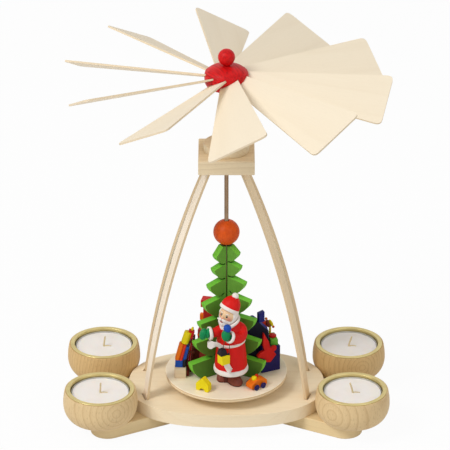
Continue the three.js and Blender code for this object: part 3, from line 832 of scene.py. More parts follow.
def linked(name: str, data: bpy.types.ID) -> Object:
    """Adds an object that shows some data to the scene.

    Args:
        name: The object's name.
        data: Its mesh, lamp or camera.

    Returns:
        The object.
    """
    made = bpy.data.objects.new(name, data)
    bpy.context.scene.collection.objects.link(made)
    return made


def settle(target: Object) -> None:
    """Applies an object's modifiers to its mesh.

    Args:
        target: The object.
    """
    bpy.context.view_layer.update()
    graph = bpy.context.evaluated_depsgraph_get()
    before = target.data
    target.data = bpy.data.meshes.new_from_object(target.evaluated_get(graph))
    target.modifiers.clear()
    bpy.data.meshes.remove(before)


@dataclass(frozen=True)
class Home:
    """Where a piece belongs: the body that it rides on and the record's slot for its finish."""

    body: str
    slot: Slot


def add_piece(
    name: str, form: Form, material: Material, home: Home, stands_for: Iterable[str] = (), eased: float = 0,
    crease: float = 40, cuts: Iterable[tuple[Form | Mesh, str]] = (), smoother: int = 0,
) -> Object:
    """Adds a piece of the carousel.

    Args:
        name: The piece's name.
        form: Its form.
        material: Its finish.
        home: The body and slot that it belongs to.
        stands_for: The frame's nodes that it replaces.
        eased: How far its edges are rounded over, in millimetres.
        crease: The angle, in degrees, over which an edge stays sharp.
        cuts: Forms that it is cut with, each with the kind of cut.
        smoother: How many times the mesh is subdivided.

    Returns:
        The piece.
    """
    piece = linked(name, form.mesh(name))
    for cutter, operation in cuts:
        carve(piece, cutter, operation)
    piece.data.materials.clear()
    piece.data.materials.append(material)
    if smoother:
        surface = piece.modifiers.new("smooth surface", "SUBSURF")
        surface.levels = surface.render_levels = smoother
    piece.data.shade_smooth()
    piece.data.set_sharp_from_angle(angle=radians(crease))
    if eased:
        ease_edges(piece, eased, 3, hardened=True)
    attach(piece, home.body)
    nodes = tuple(stands_for)
    if nodes:
        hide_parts(*nodes)
    LOG.info("%s: %d faces, stands for %s", name, len(piece.data.polygons), ", ".join(nodes) or "no node")
    return piece


def ease_edges(piece: Object, width: float, segments: int, hardened: bool = False) -> None:
    """Rounds over the sharp edges of a piece by a width in millimetres.

    Args:
        piece: The piece.
        width: The rounding's width.
        segments: How many steps it has.
        hardened: Whether the faces beside it look flat.
    """
    easing = piece.modifiers.new("eased edges", "BEVEL")
    easing.width = width * MM
    easing.segments = segments
    easing.limit_method = "ANGLE"
    easing.angle_limit = radians(38)
    easing.harden_normals = hardened


def finish_node(name: str, material: Material, eased: float = 0, segments: int = 2) -> None:
    """Gives one of the frame's own nodes its finish, and rounds over its edges.

    Args:
        name: The node's name.
        material: Its finish.
        eased: How far its edges are rounded over, in millimetres.
        segments: How many steps that rounding has.
    """
    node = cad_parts[name]
    if not node.material_slots:
        node.data.materials.append(material)
    for place in node.material_slots:
        place.link = "OBJECT"
        place.material = material
    if eased:
        ease_edges(node, eased, segments)
    LOG.info("%s: the frame's own solid, finished as %s", name, material.name)


def grown_node(name: str, amount: float) -> Mesh:
    """The room that one of the frame's nodes needs: its own solid, grown by an amount in millimetres.

    Args:
        name: The node's name.
        amount: How far it grows.

    Returns:
        The room.
    """
    room = bpy.data.meshes.new(f"room for {name}")
    work = bmesh.new()
    work.from_mesh(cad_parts[name].data)
    bmesh.ops.remove_doubles(work, verts=work.verts, dist=0.01 * MM)
    work.normal_update()
    for corner in work.verts:
        corner.co += corner.normal * (amount * MM)
    work.to_mesh(room)
    work.free()
    return room


def spread(name: str) -> tuple[Vector, Vector]:
    """The lowest and highest corners of one of the frame's nodes, in millimetres."""
    low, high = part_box(name)
    return low / MM, high / MM


# A cup's rings: the way the pith runs, a place on it from the middle of the foot, and how far apart they are
CUP_GRAINS: dict[str, tuple[Triple, Triple, float]] = {
    "front_left": ((0.468, -0.884, 0), (11.7, -22.1, 25), 3.4),
    "front_right": ((-0.588, -0.808, 0.1), (-14.7, -20.2, 23), 4.4),
    "rear_left": ((0.25, 0.2, 1), (10, -29, 22), 2.6),
    "rear_right": ((0.336, -0.94, 0), (8.4, -23.5, 24.7), 2.6),
}
WICK_LEANS: dict[str, float] = {"front_left": 3, "front_right": -14, "rear_left": 7, "rear_right": 15}
CORNERS: dict[str, tuple[int, int]] = {
    "front_left": (-1, -1), "front_right": (1, -1), "rear_left": (-1, 1), "rear_right": (1, 1)
}

MAPLE = Wood(
    name="maple", light=(249, 231, 198), dark=(226, 198, 152), pith=(0, 70, -95), ring=4.4, ring_depth=0.14,
    fibre_depth=0.3, warp=7, fleck=0.05, roughness=0.6,
)
# The veneer's darker side colour on the blades' edges is partly painted shade.
VENEER = replace(
    MAPLE, name="blade veneer", light=(247, 233, 208), dark=(230, 210, 178), ring=9, ring_depth=0.12,
    fibre_depth=0.22, mottle=0.2, fleck=0.03, side=(236, 217, 186), side_limit=0.5,
)
BLOCK_WOOD = replace(
    MAPLE, name="top block maple", light=(240, 220, 184), dark=(202, 172, 126), pith=(30, -55, 150),
    ring=3.1, ring_depth=0.3, warp=9, fleck=0.1,
)
ARM_WOOD = replace(MAPLE, name="arm maple", light=(240, 216, 168), dark=(212, 178, 124), ring=3.6)
BEECH = Wood(
    name="beech", light=(230, 202, 154), dark=(184, 142, 88), ring_depth=0.34, warp=1.6,
    fibre_axis=(0.03, 0.05, 1), fibre_depth=0.4, fleck=0.22, roughness=0.58,
)
# A darker, warmer copy of the beech for the two rear cups: painted shade.
REAR_SHADED_BEECH = replace(BEECH, light=(222, 188, 132), dark=(172, 124, 70))
BRASS = Metal("brass", (211, 193, 132), (176, 158, 102), 0.34, 0.72)
BEARING_BRASS = replace(BRASS, name="bearing brass", colour=(196, 170, 98))
ALUMINIUM = Metal("aluminium", (206, 204, 196), (156, 154, 148), 0.34, 0.8)
SHAFT_STEEL = Metal("shaft steel", (158, 132, 106), (104, 84, 64), 0.42, 0.8)
IVORY_WAX = Wax("ivory wax", (247, 241, 236), (238, 228, 220))
WICK_COTTON = Twist("wick cotton", (242, 228, 192), (216, 194, 146))
CORD_COTTON = Twist("lantern cord", (132, 84, 56), (82, 48, 34), 0.6)
HUB_RED = Paint("hub stain", (214, 18, 20), (132, 6, 12), 0.46, (0.5, -0.87, 0), 0.6, 2.2)
BEAD_STAIN = Paint("bead stain", (222, 88, 20), (164, 46, 10), uneven=0.9, fibre=0.7)
COAT_RED = Paint("coat paint", (222, 24, 18), (190, 12, 12), 0.5)
TOY_RED = Paint("toy red", (214, 26, 20), (156, 14, 14))
TOY_SCARLET = Paint("toy scarlet", (222, 58, 28), (178, 30, 16), 0.42)
TOY_ORANGE = Paint("toy orange", (244, 124, 18), (206, 78, 10))
TOY_YELLOW = Paint("toy yellow", (242, 222, 16), (206, 182, 6))
TOY_BLUE = Paint("toy blue", (22, 80, 178), (12, 48, 130))
TOY_NAVY = Paint("toy navy", (32, 27, 98), (17, 13, 60))
TOY_INDIGO = Paint("toy indigo", (32, 40, 130), (18, 22, 84))
TOY_GREEN = Paint("toy green", (112, 194, 62), (74, 152, 48), 0.5)
TOY_BLACK = Paint("toy black", (28, 27, 36), (16, 14, 20))
TOY_BROWN = Paint("toy brown", (134, 58, 38), (84, 30, 20), 0.48)
BOOT_BROWN = Paint("boot paint", (138, 74, 58), (92, 46, 36))
MITTEN_GREEN = Paint("mitten paint", (8, 136, 78), (0, 92, 52), 0.44)
LANTERN_BLACK = Paint("lantern roof paint", (30, 25, 32), (14, 11, 17), 0.5)
FUR_WHITE = Paint("fur paint", (243, 236, 230), (220, 208, 200), 0.55, relief=0.14)
SCROLL_WHITE = Paint("list paint", (236, 228, 222), (206, 194, 186), 0.5)
EYE_DARK = Paint("eye paint", (34, 24, 20), (14, 8, 8), 0.3, coat=0.5)
LIP_RED = Paint("lip paint", (186, 72, 58), (150, 46, 40), 0.42)


@dataclass(frozen=True)
class Skin:
    """Painted skin with a soft blush round two places, given in millimetres."""

    name: str
    colour: Screen
    shade: Screen
    blush: Screen
    cheeks: tuple[Triple, ...]
    reach: float = 2.6
    roughness: float = 0.42

    def material(self) -> Material:
        """Builds the skin's material.

        Returns:
            The material.
        """
        shader = Shader(self.name)
        place = shader.place
        brush = shader.noise(place, 0.9, 3)
        colour = shader.mix((brush - 0.42) * 0.9, linear(self.colour), linear(self.shade))
        for cheek in self.cheeks:
            away = shader.vector("DISTANCE", place, cheek, output="Value") / self.reach
            glow = away.ramp((0.25, 0.8), (1, 0))
            colour = shader.mix(glow + (brush - 0.5) * glow, colour, linear(self.blush))
        shader.set(Base_Color=colour, Roughness=(brush - 0.5) * 0.2 + self.roughness)
        shader.bump(brush, 0.04, 0.5)
        return shader.material


@dataclass
class Stand:
    """The still part: plate, arms, bearing, legs and top block."""

    arm_x: float = 79.9
    arm_y: float = 33.2
    arm_width: float = 23.2
    arm_thickness: float = 9.5
    arm_heading: float = 27.5
    arm_edge: float = 0.7
    mitre_gap: float = 0.3
    plate_half_length: float = 66.6
    plate_half_depth: float = 45.8
    plate_thickness: float = 9.5
    plate_edge: float = 0.8
    plate_fullness: float = 2.4
    frame_height: float = 164
    leg_foot: tuple[float, float] = (54.3, 19.9)
    leg_head: tuple[float, float] = (11.6, 7.4)
    right_head_in: float = 1.2
    leg_width: float = 8.6
    leg_thickness: float = 1.6
    leg_bow: float = 5.8
    mortise_depth: float = 7.3
    mortise_gap: float = 0.3
    mortise_outer_gap: float = 1.1
    bearing_radius: float = 4
    bearing_height: float = 5
    bearing_proud: float = 1.5
    boss_radius: float = 15
    boss_edge: float = 0.8
    boss_bore: float = 1.7

    def build(self) -> None:
        """Builds every piece of the stand."""
        self.plate_top = self.arm_thickness + self.plate_thickness
        for corner in CORNERS:
            self.build_arm(corner)
            self.finish_leg(corner)
        self.build_plate()
        self.build_bearing()
        finish_node("top_block", BLOCK_WOOD.material(), 0.5, 3)
        self.build_boss()

    def arm_direction(self, corner: str) -> float:
        """The heading of an arm from the middle out, in degrees."""
        (side, end), lean = CORNERS[corner], radians(self.arm_heading)
        return degrees(atan2(end * sin(lean), side * cos(lean)))

    def build_arm(self, corner: str) -> None:
        """Builds one arm, a board with a round outer end, mitred to the others under the plate.

        Args:
            corner: The arm's corner.
        """
        side, end = CORNERS[corner]
        half = self.arm_width / 2
        inner = -(self.arm_x + self.arm_width)
        tip = [pi * step / 40 - pi / 2 for step in range(41)]
        outline = [(inner, half), (inner, -half), *((half * cos(a), half * sin(a)) for a in tip)]
        heading = self.arm_direction(corner)
        form = prism(outline, self.arm_thickness).turned(heading)
        form = form.moved(side * self.arm_x, end * self.arm_y, self.arm_thickness / 2)
        span = self.arm_x + self.arm_width
        shift = (span + self.mitre_gap) / 2
        tall = self.arm_thickness
        quarter = block(span, span, tall * 3).moved(side * shift, end * shift, -tall)
        grain = (cos(radians(heading)), sin(radians(heading)), 0)
        wood = replace(ARM_WOOD, name=f"arm maple {corner}", grain=grain, pith=(0, 20 * end, -38 - 6 * side))
        add_piece(
            f"arm_board_{corner}", form, wood.material(), Home(Body.STAND.value, Slot.MAPLE),
            [f"arm_{corner}"], eased=self.arm_edge, cuts=[(quarter, "INTERSECT")],
        )

    def leg_run(self, corner: str) -> tuple[float, float]:
        """How far a leg's head stands from its foot, inward and toward the middle of the depth."""
        head = self.leg_head[0] - (self.right_head_in if CORNERS[corner][0] > 0 else 0)
        return self.leg_foot[0] - head, self.leg_foot[1] - self.leg_head[1]

    def leg_line(self, share: float, run: float) -> tuple[float, float]:
        """A leg's middle line, as far inward and up from its foot, at a share of its height."""
        bow = 4 * self.leg_bow * share * (1 - share) / hypot(run, self.frame_height)
        return run * share - self.frame_height * bow, self.frame_height * share + run * bow

    def leg_heading(self, corner: str) -> float:
        """The direction from a leg's foot to its head, in degrees."""
        (side, end), (inward, back) = CORNERS[corner], self.leg_run(corner)
        return degrees(atan2(-end * back, -side * inward))

    def mortise(self, corner: str) -> Form:
        """The room that a leg's tenon has in the plate.

        Args:
            corner: The leg's corner.

        Returns:
            The room.
        """
        side, end = CORNERS[corner]
        run = hypot(*self.leg_run(corner))
        low = -self.mortise_depth / self.frame_height
        inner, outer = [], []
        for step in range(5):
            share = low * (1 - step / 2)
            here = Vector(self.leg_line(share, run))
            before, after = (Vector(self.leg_line(share + shift, run)) for shift in (-0.05, 0.05))
            ahead = (after - before).normalized()
            across = Vector((ahead.y, -ahead.x))
            inner.append(tuple(here + across * (self.leg_thickness / 2 + self.mortise_gap)))
            outer.append(tuple(here - across * (self.leg_thickness / 2 + self.mortise_outer_gap)))
        strip = prism([*inner, *reversed(outer)], self.leg_width + 2 * self.mortise_gap)
        strip = strip.upright(self.leg_heading(corner))
        return strip.moved(side * self.leg_foot[0], end * self.leg_foot[1], self.plate_top)

    def finish_leg(self, corner: str) -> None:
        """Gives a bent leg its finish, pale on its broad faces and tan on its narrow sides, the tan partly
        painted shade.

        Args:
            corner: The leg's corner.
        """
        heading = radians(self.leg_heading(corner))
        inward = Vector((cos(heading), sin(heading), 0))
        rise = Vector((*(inward * hypot(*self.leg_run(corner)))[:2], self.frame_height)).normalized()
        # The right legs' warmer pale colour is painted light: warm light bounced onto their shaded inner
        # faces.
        wood = replace(
            MAPLE, name=f"leg maple {corner}",
            light=(248, 234, 214) if CORNERS[corner][0] < 0 else (250, 226, 188), grain=tuple(rise),
            pith=tuple(inward * -60), ring=3.4, side=(226, 202, 164), side_normal=tuple(inward.cross(UP)),
        )
        finish_node(f"leg_{corner}", wood.material(), 0.35)

    def build_plate(self) -> None:
        """Builds the oval plate with its mortises and the bearing's pocket."""
        outline = []
        for step in range(192):
            angle = tau * step / 192
            x, y = cos(angle), sin(angle)
            power = 2 / self.plate_fullness
            outline.append(
                (
                    copysign(self.plate_half_length * abs(x) ** power, x),
                    copysign(self.plate_half_depth * abs(y) ** power, y),
                )
            )
        form = prism(outline, self.plate_thickness).moved(z=self.arm_thickness + self.plate_thickness / 2)
        depth = self.bearing_height - self.bearing_proud
        radius = self.bearing_radius + FIT
        pocket = lathe([(0, -depth), (radius, -depth), (radius, 2), (0, 2)], 48).moved(z=self.plate_top)
        add_piece(
            "plate_board", form, MAPLE.material(), Home(Body.STAND.value, Slot.MAPLE), ["base_plate"],
            eased=self.plate_edge,
            cuts=[*((self.mortise(corner), "DIFFERENCE") for corner in CORNERS), (pocket, "DIFFERENCE")],
        )

    def build_bearing(self) -> None:
        """Builds the small cup that the shaft's point turns in."""
        top = self.plate_top + self.bearing_proud
        low, radius = top - self.bearing_height, self.bearing_radius
        corners = [(0, low), (radius, low), (radius, top), (2.4, top), (1.9, top - 0.3), (0, top - 1.6)]
        profile = rounded(corners, 0.4)
        add_piece(
            "bearing_cup", lathe(profile, 64), BEARING_BRASS.material(), Home(Body.STAND.value, Slot.BRASS),
            ["lower_bearing"],
        )

    def build_boss(self) -> None:
        """Builds the turned collar on the block that guides the shaft."""
        low, high = (corner.z for corner in spread("upper_bearing_boss"))
        bore, radius = self.boss_bore, self.boss_radius
        profile = [
            (bore, low), (radius - 0.3, low), (radius, low + 0.3), (radius, high - self.boss_edge),
            (radius - self.boss_edge * 0.35, high - self.boss_edge * 0.3), (radius - self.boss_edge, high),
            (bore + 0.4, high), (bore, high - 0.4),
        ]
        wood = replace(BLOCK_WOOD, name="boss maple", pith=(12, -34, 182), ring=2.4, grain=(0.9, 0.2, 0))
        add_piece(
            "boss_collar", lathe(profile, 96, loop=True), wood.material(),
            Home(Body.STAND.value, Slot.MAPLE), ["upper_bearing_boss"], crease=30,
        )


@dataclass
class CandleCups:
    """The four turned cups with their liners, and the tea lights that stand in them."""

    x: float = 84.6
    y: float = 32.85
    foot: float = 9.5
    radius: float = 25
    foot_radius: float = 15.5
    belly: float = 12.5
    rim_radius: float = 23.9
    height: float = 22.3
    floor: float = 3.6
    liner_radius: float = 20.7
    liner_wall: float = 0.7
    flange_radius: float = 23
    flange: float = 0.8
    flange_proud: float = 0.6
    shell_radius: float = 19.4
    shell_wall: float = 0.3
    shell_height: float = 16.6
    wax_gap: float = FIT
    wax_drop: float = 0.7
    wax_dish: float = 0.5
    wick_radius: float = 0.74
    wick_height: float = 7.3
    wick_stub: float = 5
    steps: int = 112

    def build(self) -> None:
        """Builds every cup with what stands in it."""
        for corner, (side, end) in CORNERS.items():
            middle = Vector((side * self.x, end * self.y, 0))
            self.build_cup(corner, middle)
            self.build_liner(corner, middle)
            self.build_tea_light(corner, middle)

    def build_cup(self, corner: str, middle: Vector) -> None:
        """Builds one turned cup.

        Args:
            corner: Its corner.
            middle: The middle of its foot.
        """
        grain, pith, ring = CUP_GRAINS[corner]
        top = self.foot + self.height
        profile = [(0, self.foot), (self.foot_radius - 1, self.foot)]
        for step in range(25):
            angle = pi / 2 * step / 24
            radius = self.foot_radius + (self.radius - self.foot_radius) * sin(angle)
            profile.append((radius, self.foot + self.belly * (1 - cos(angle))))
        for step in range(1, 17):
            share = step / 16
            radius = self.radius - (self.radius - self.rim_radius) * share**2
            profile.append((radius, self.foot + self.belly + (self.height - 0.4 - self.belly) * share))
        recess = self.flange_radius + FIT
        ledge = top - (self.flange - self.flange_proud)
        bore = self.liner_radius + FIT
        profile += [(self.rim_radius - 0.12, top - 0.1), (self.rim_radius - 0.3, top), (recess + 0.1, top)]
        profile += [(recess, top - 0.1), (recess, ledge), (bore, ledge)]
        profile += [(bore, self.foot + self.floor), (0, self.foot + self.floor)]
        # The rear cups take the darker beech, as painted shade.
        base = BEECH if middle.y < 0 else REAR_SHADED_BEECH
        pith = tuple(middle + Vector(pith))
        wood = replace(base, name=f"beech {corner}", grain=grain, pith=pith, ring=ring)
        add_piece(
            f"cup_turning_{corner}", lathe(profile, self.steps).moved(middle.x, middle.y), wood.material(),
            Home(Body.STAND.value, Slot.BEECH), [f"cup_{corner}"], crease=35,
        )

    def build_liner(self, corner: str, middle: Vector) -> None:
        """Builds one liner, a drawn cup whose flange has a rolled inner lip.

        Args:
            corner: Its corner.
            middle: The middle of its foot.
        """
        low = self.foot + self.floor
        under = self.foot + self.height - (self.flange - self.flange_proud)
        top = under + self.flange
        inside = self.liner_radius - self.liner_wall
        floor = low + self.liner_wall
        outside, lip = self.liner_radius, self.flange_radius
        corners = [(0, low), (outside, low), (outside, under), (lip, under), (lip, top - 0.25)]
        corners += [(lip - 0.35, top - 0.05)]
        corners += [(inside + 1.1, top - 0.3), (inside + 0.7, top), (inside + 0.2, top - 0.1)]
        corners += [(inside, top - 0.7), (inside, floor), (0, floor)]
        add_piece(
            f"liner_cup_{corner}", lathe(rounded(corners, 0.35, 3), self.steps).moved(middle.x, middle.y),
            replace(BRASS, name=f"brass {corner}").material(), Home(Body.STAND.value, Slot.BRASS),
            [f"liner_{corner}"], crease=50,
        )

    def build_tea_light(self, corner: str, middle: Vector) -> None:
        """Builds one tea light: its shell, its wax and its wick.

        Args:
            corner: Its corner.
            middle: The middle of its foot.
        """
        body = f"tealight_{corner}"
        low = self.foot + self.floor + self.liner_wall
        top = low + self.shell_height
        outside, wall = self.shell_radius, self.shell_wall
        inside = outside - wall
        shell = [(0, low), (outside - 0.9, low), (outside, low + 0.9), (outside, top - 0.3), (outside, top)]
        shell += [(inside, top), (inside, low + 1.2), (inside - 0.9, low + wall), (0, low + wall)]
        add_piece(
            f"tealight_cup_{corner}", lathe(rounded(shell, 0.15, 3), self.steps).moved(middle.x, middle.y),
            ALUMINIUM.material(), Home(body, Slot.ALUMINIUM), [f"tealight_shell_{corner}"], crease=50,
        )
        radius = inside - self.wax_gap
        face = top - self.wax_drop
        bottom = low + wall
        rim = [(0, bottom), (radius - 1, bottom), (radius, bottom + 1)]
        rim += [(radius, face - 0.3), (radius - 0.12, face)]
        dip = [(radius - 0.5, face - 0.12), (radius * 0.93, face - 0.36), (radius * 0.8, face - 0.5)]
        across = [radius * share for share in (0.65, 0.5, 0.35, 0.2, 0.1)]
        dished = [(reach, face - self.wax_dish) for reach in (*across, 0)]
        profile = [*rim, *flowing(dip, 5), *dished]
        seed = middle.x + 2 * middle.y

        def poured(point: Vector) -> Vector:
            """Lets the face of the wax lie a little unevenly.

            Args:
                point: A corner of the form.

            Returns:
                Its new place.
            """
            if point.z > face - 0.8:
                point.z += 0.07 * noise.noise(Vector((point.x * 0.12 + seed, point.y * 0.12, 0))) - 0.02
            return point

        add_piece(
            f"wax_filling_{corner}", lathe(profile, self.steps).reshaped(poured).moved(middle.x, middle.y),
            IVORY_WAX.material(), Home(body, Slot.WAX), [f"tealight_wax_{corner}"], crease=50,
        )
        self.build_wick(corner, middle, face - self.wax_dish)

    def build_wick(self, corner: str, middle: Vector, face: float) -> None:
        """Builds one wick, bent where it leaves the wax, with a stub that lies on it.

        Args:
            corner: Its corner.
            middle: The middle of its foot.
            face: The height of the wax.
        """
        lean = tan(radians(WICK_LEANS[corner]))
        rise, reach = self.wick_height, self.wick_stub
        bend = (rise * lean * 0.35, 0.1, rise * 0.45)
        stem = flowing([(0.1, 0, -0.6), (0, 0, 0.6), bend, (rise * lean, 0, rise)], 6)
        stub = flowing([(-0.2, 0, 0.15), (reach * 0.45, 0.3, 0.2), (reach, -0.1, 0.12)], 5)
        radii = [self.wick_radius * (0.92 - 0.18 * step / (len(stem) - 1)) for step in range(len(stem))]
        form = tube(stem, radii, 14) + tube(stub, [self.wick_radius * 0.6] * len(stub), 12, 0.7)
        add_piece(
            f"wick_{corner}", form.moved(middle.x, middle.y, face), WICK_COTTON.material(),
            Home(f"tealight_{corner}", Slot.WAX),
        )


@dataclass
class Rotor:
    """The shaft with what is fixed to it: hub, ten blades, finial, bead and turntable."""

    shaft_radius: float = 1.4
    shaft_point: float = 2.2
    bore_gap: float = FIT
    slot_gap: float = 0.25
    blade_count: int = 10
    blade_heading: float = -85.85
    blade_pitch: float = 26.7
    hub_shares: tuple[tuple[float, float], ...] = (
        (0, 0), (0.62, 0), (0.85, 0.07), (0.965, 0.21), (1, 0.38), (0.995, 0.6), (0.965, 0.71)
    )
    dome_shares: tuple[tuple[float, float], ...] = (
        (0.91, 0.735), (0.78, 0.85), (0.52, 0.95), (0.24, 1), (0, 1)
    )

    def build(self) -> None:
        """Builds every piece on the shaft."""
        self.build_shaft()
        self.build_turntable()
        self.build_bead()
        self.build_hub()
        self.build_finial()
        for number in range(self.blade_count):
            self.finish_blade(number)

    def build_shaft(self) -> None:
        """Builds the steel shaft with its point."""
        low, high = (corner.z for corner in spread("shaft"))
        radius = self.shaft_radius
        point = self.shaft_point
        corners = [(0, low), (radius * 0.92, low + point * 0.9), (radius, low + point * 1.15)]
        corners += [(radius, high - 0.2), (radius - 0.2, high), (0, high)]
        add_piece(
            "shaft_rod", lathe(corners, 40), SHAFT_STEEL.material(), Home(Body.ROTOR.value, Slot.STEEL),
            ["shaft"], crease=50,
        )

    def build_turntable(self) -> None:
        """Builds the round stage, with the fine groove round its edge."""
        low, high = spread("turntable")
        radius, bore = high.x, self.shaft_radius + self.bore_gap
        middle = (low.z + high.z) / 2
        corners = [(bore, low.z), (radius - 0.8, low.z), (radius, low.z + 0.5), (radius, middle - 0.32)]
        corners += [(radius - 0.4, middle - 0.15), (radius - 0.4, middle + 0.05), (radius, middle + 0.22)]
        corners += [(radius, high.z - 0.35), (radius - 0.35, high.z), (bore, high.z)]
        # The darker side colour on the disc's rim is partly painted shade.
        wood = replace(
            MAPLE, name="turntable maple", light=(251, 238, 213), side=(226, 198, 154), side_limit=0.5,
            pith=(30, 60, -110),
        )
        add_piece(
            "stage_disc", lathe(corners, 160, loop=True), wood.material(),
            Home(Body.ROTOR.value, Slot.MAPLE), ["turntable"], crease=30,
        )

    def build_bead(self) -> None:
        """Builds the turned bead with its bored hole."""
        low, high = spread("bead")
        middle, radius = (low + high) / 2, (high.x - low.x) / 2
        bore = self.shaft_radius + self.bore_gap
        reach = acos((bore + 0.3) / radius)
        arc = [reach * (2 * step / 48 - 1) for step in range(49)]
        profile = [(bore, -radius * 0.955), *((radius * cos(a), radius * sin(a)) for a in arc)]
        profile.append((bore, radius * 0.955))
        add_piece(
            "bead_turning", lathe(profile, 80, loop=True).moved(z=middle.z), BEAD_STAIN.material(),
            Home(Body.ROTOR.value, Slot.ORANGE), ["bead"],
        )

    def build_hub(self) -> None:
        """Builds the turned hub with a slot for each blade and a bore for the shaft."""
        low, high = spread("rotor_hub")
        radius, height = (high.x - low.x) / 2, high.z - low.z

        def placed(shares: Profile) -> list[tuple[float, float]]:
            """Shares of the hub's size as its own profile, made smooth."""
            return flowing([(radius * across, low.z + height * up) for across, up in shares], 6)

        edge = (radius * 0.94, low.z + height * 0.735)
        form = lathe([*placed(self.hub_shares), edge, *placed(self.dome_shares)], 112)
        bore_top = height - 1.7
        bore = lathe([(0, -2), (self.shaft_radius + self.bore_gap, -2), (1.6, bore_top), (0, bore_top)], 32)
        cuts: list[tuple[Form | Mesh, str]] = [(bore.moved(z=low.z), "DIFFERENCE")]
        for number in range(self.blade_count):
            cuts.append((grown_node(f"blade_{number + 1:02d}", self.slot_gap * 1.4), "DIFFERENCE"))
        add_piece(
            "hub_turning", form, HUB_RED.material(), Home(Body.ROTOR.value, Slot.RED), ["rotor_hub"],
            crease=32, cuts=cuts,
        )

    def build_finial(self) -> None:
        """Builds the ball on the hub, on a short neck."""
        low, high = spread("finial_ball")
        radius, middle = (high.x - low.x) / 2, (low.z + high.z) / 2
        start = radians(-68)
        arc = [start + (pi / 2 - start) * step / 40 for step in range(41)]
        profile = [(0, -radius), (2, -radius), (2.05, radius * sin(start) - 0.02)]
        profile += [(radius * cos(a), radius * sin(a)) for a in arc[:-1]] + [(0, radius)]
        stain = replace(HUB_RED, name="finial stain", grain=(0.2, -0.3, 1))
        add_piece(
            "finial_turning", lathe(profile, 80).moved(z=middle), stain.material(),
            Home(Body.ROTOR.value, Slot.RED), ["finial_ball"],
        )

    def finish_blade(self, number: int) -> None:
        """Gives a blade its veneer, with the grain along it.

        Args:
            number: The blade's number, from 0.
        """
        heading = radians(self.blade_heading + 360 * number / self.blade_count)
        away = Vector((cos(heading), sin(heading), 0))
        across = Vector((-away.y, away.x, 0))
        pitch = radians(self.blade_pitch)
        wood = replace(
            VENEER, name=f"blade veneer {number + 1:02d}", grain=tuple(away),
            pith=tuple(across * (70 + 9 * (number % 3)) + Vector((0, 0, 165 + 5 * (number % 4)))),
            face_normal=tuple(Vector((0, 0, cos(pitch))) - across * sin(pitch)),
        )
        finish_node(f"blade_{number + 1:02d}", wood.material(), 0.25)


@dataclass
class Tree:
    """The tree of three sawn vanes that stand round the shaft."""

    height: float = 95.1
    reach: float = 28.9
    thickness: float = 5.4
    slit: float = 1.1
    heading: float = 92.5
    gap: float = 0.6
    foot: float = STAGE_TOP
    shaft_room: float = 1.6
    top_share: float = 0.15
    saw_run: float = 3.6
    saw_slopes: tuple[float, ...] = (0.15, 0.15, 1, 1, 1, 1)
    belly_round: float = 0.7
    high_tiers: float = 0.4
    tiers: tuple[tuple[tuple[float, float], tuple[float, float]], ...] = (
        ((0.325, 0.933), (0.15, 0.868)), ((0.377, 0.834), (0.17, 0.753)), ((0.498, 0.714), (0.22, 0.616)),
        ((0.633, 0.581), (0.275, 0.462)), ((0.761, 0.441), (0.36, 0.325)), ((0.889, 0.299), (0.43, 0.158)),
        ((1, 0.136), (0.71, 0)),
    )
    lifts: tuple[tuple[str, float], ...] = (("rear", 0), ("left", 0), ("right", 1.5))

    def build(self) -> None:
        """Builds the three vanes."""
        for number, (name, lift) in enumerate(self.lifts):
            self.build_vane(name, self.heading + 120 * number, lift)

    def outline(self, lift: float) -> list[tuple[float, float]]:
        """The side of a vane, from the shaft's axis out.

        Args:
            lift: How much higher its upper tiers sit.

        Returns:
            Its outline: hanging bellies with a saw cut over each.
        """

        def place(across: float, up: float) -> tuple[float, float]:
            """Shares of the vane's reach and height, in millimetres."""
            return self.reach * across, self.height * up + (lift if up > self.high_tiers else 0)

        line = [(0.0, 0.0), (0.0, self.height), (self.reach * self.top_share, self.height)]
        for number, (tip, notch) in enumerate(self.tiers):
            (tip_reach, tip_rise), (notch_reach, notch_rise) = place(*tip), place(*notch)
            for step in range(19):
                angle = pi / 2 * step / 18
                inward = 1 - cos(angle)
                down = self.belly_round * sin(angle) + (1 - self.belly_round) * inward
                across = tip_reach - (tip_reach - notch_reach) * inward
                line.append((across, tip_rise - (tip_rise - notch_rise) * down))
            if number < len(self.tiers) - 1:
                slope = self.saw_slopes[number]
                run = min(self.saw_run / hypot(1, slope), notch_reach - self.shaft_room - 1)
                rise = run * slope
                line.append((notch_reach - run, notch_rise + rise))
                line.append((notch_reach - run - self.slit * 0.3, notch_rise + rise - self.slit))
                line.append((notch_reach, notch_rise - self.slit))
        return line

    def build_vane(self, name: str, heading: float, lift: float) -> None:
        """Builds one vane, mitred to the others round the shaft.

        Args:
            name: The vane's name.
            heading: Where it points, in degrees.
            lift: How much higher its upper tiers sit.
        """
        form = prism(self.outline(lift), self.thickness).upright(heading).moved(z=self.foot)
        start = self.gap / (2 * sin(radians(60)))
        far = self.reach + 3
        side = far * tan(radians(60))
        sector = prism([(start, 0), (start + far, -side), (start + far, side)], self.height + 6)
        sector = sector.turned(heading).moved(z=self.foot + self.height / 2)
        room = self.shaft_room
        bore = lathe([(0, -3), (room, -3), (room, 100), (0, 100)], 32).moved(z=self.foot)
        across = radians(heading + 90)
        # The stain paints shade toward the vane's foot and in its saw cuts and corners.
        stain = SawnPaint(
            f"tree stain {name}", edge=(116, 198, 56), face=(102, 160, 54),
            face_normal=(cos(across), sin(across), 0), painted_foot_shade=0.75,
        )
        add_piece(
            f"tree_board_{name}", form, stain.material(), Home(Body.ROTOR.value, Slot.GREEN),
            [f"tree_vane_{name}"], eased=0.35, crease=32,
            cuts=[(sector, "INTERSECT"), (bore, "DIFFERENCE")],
        )


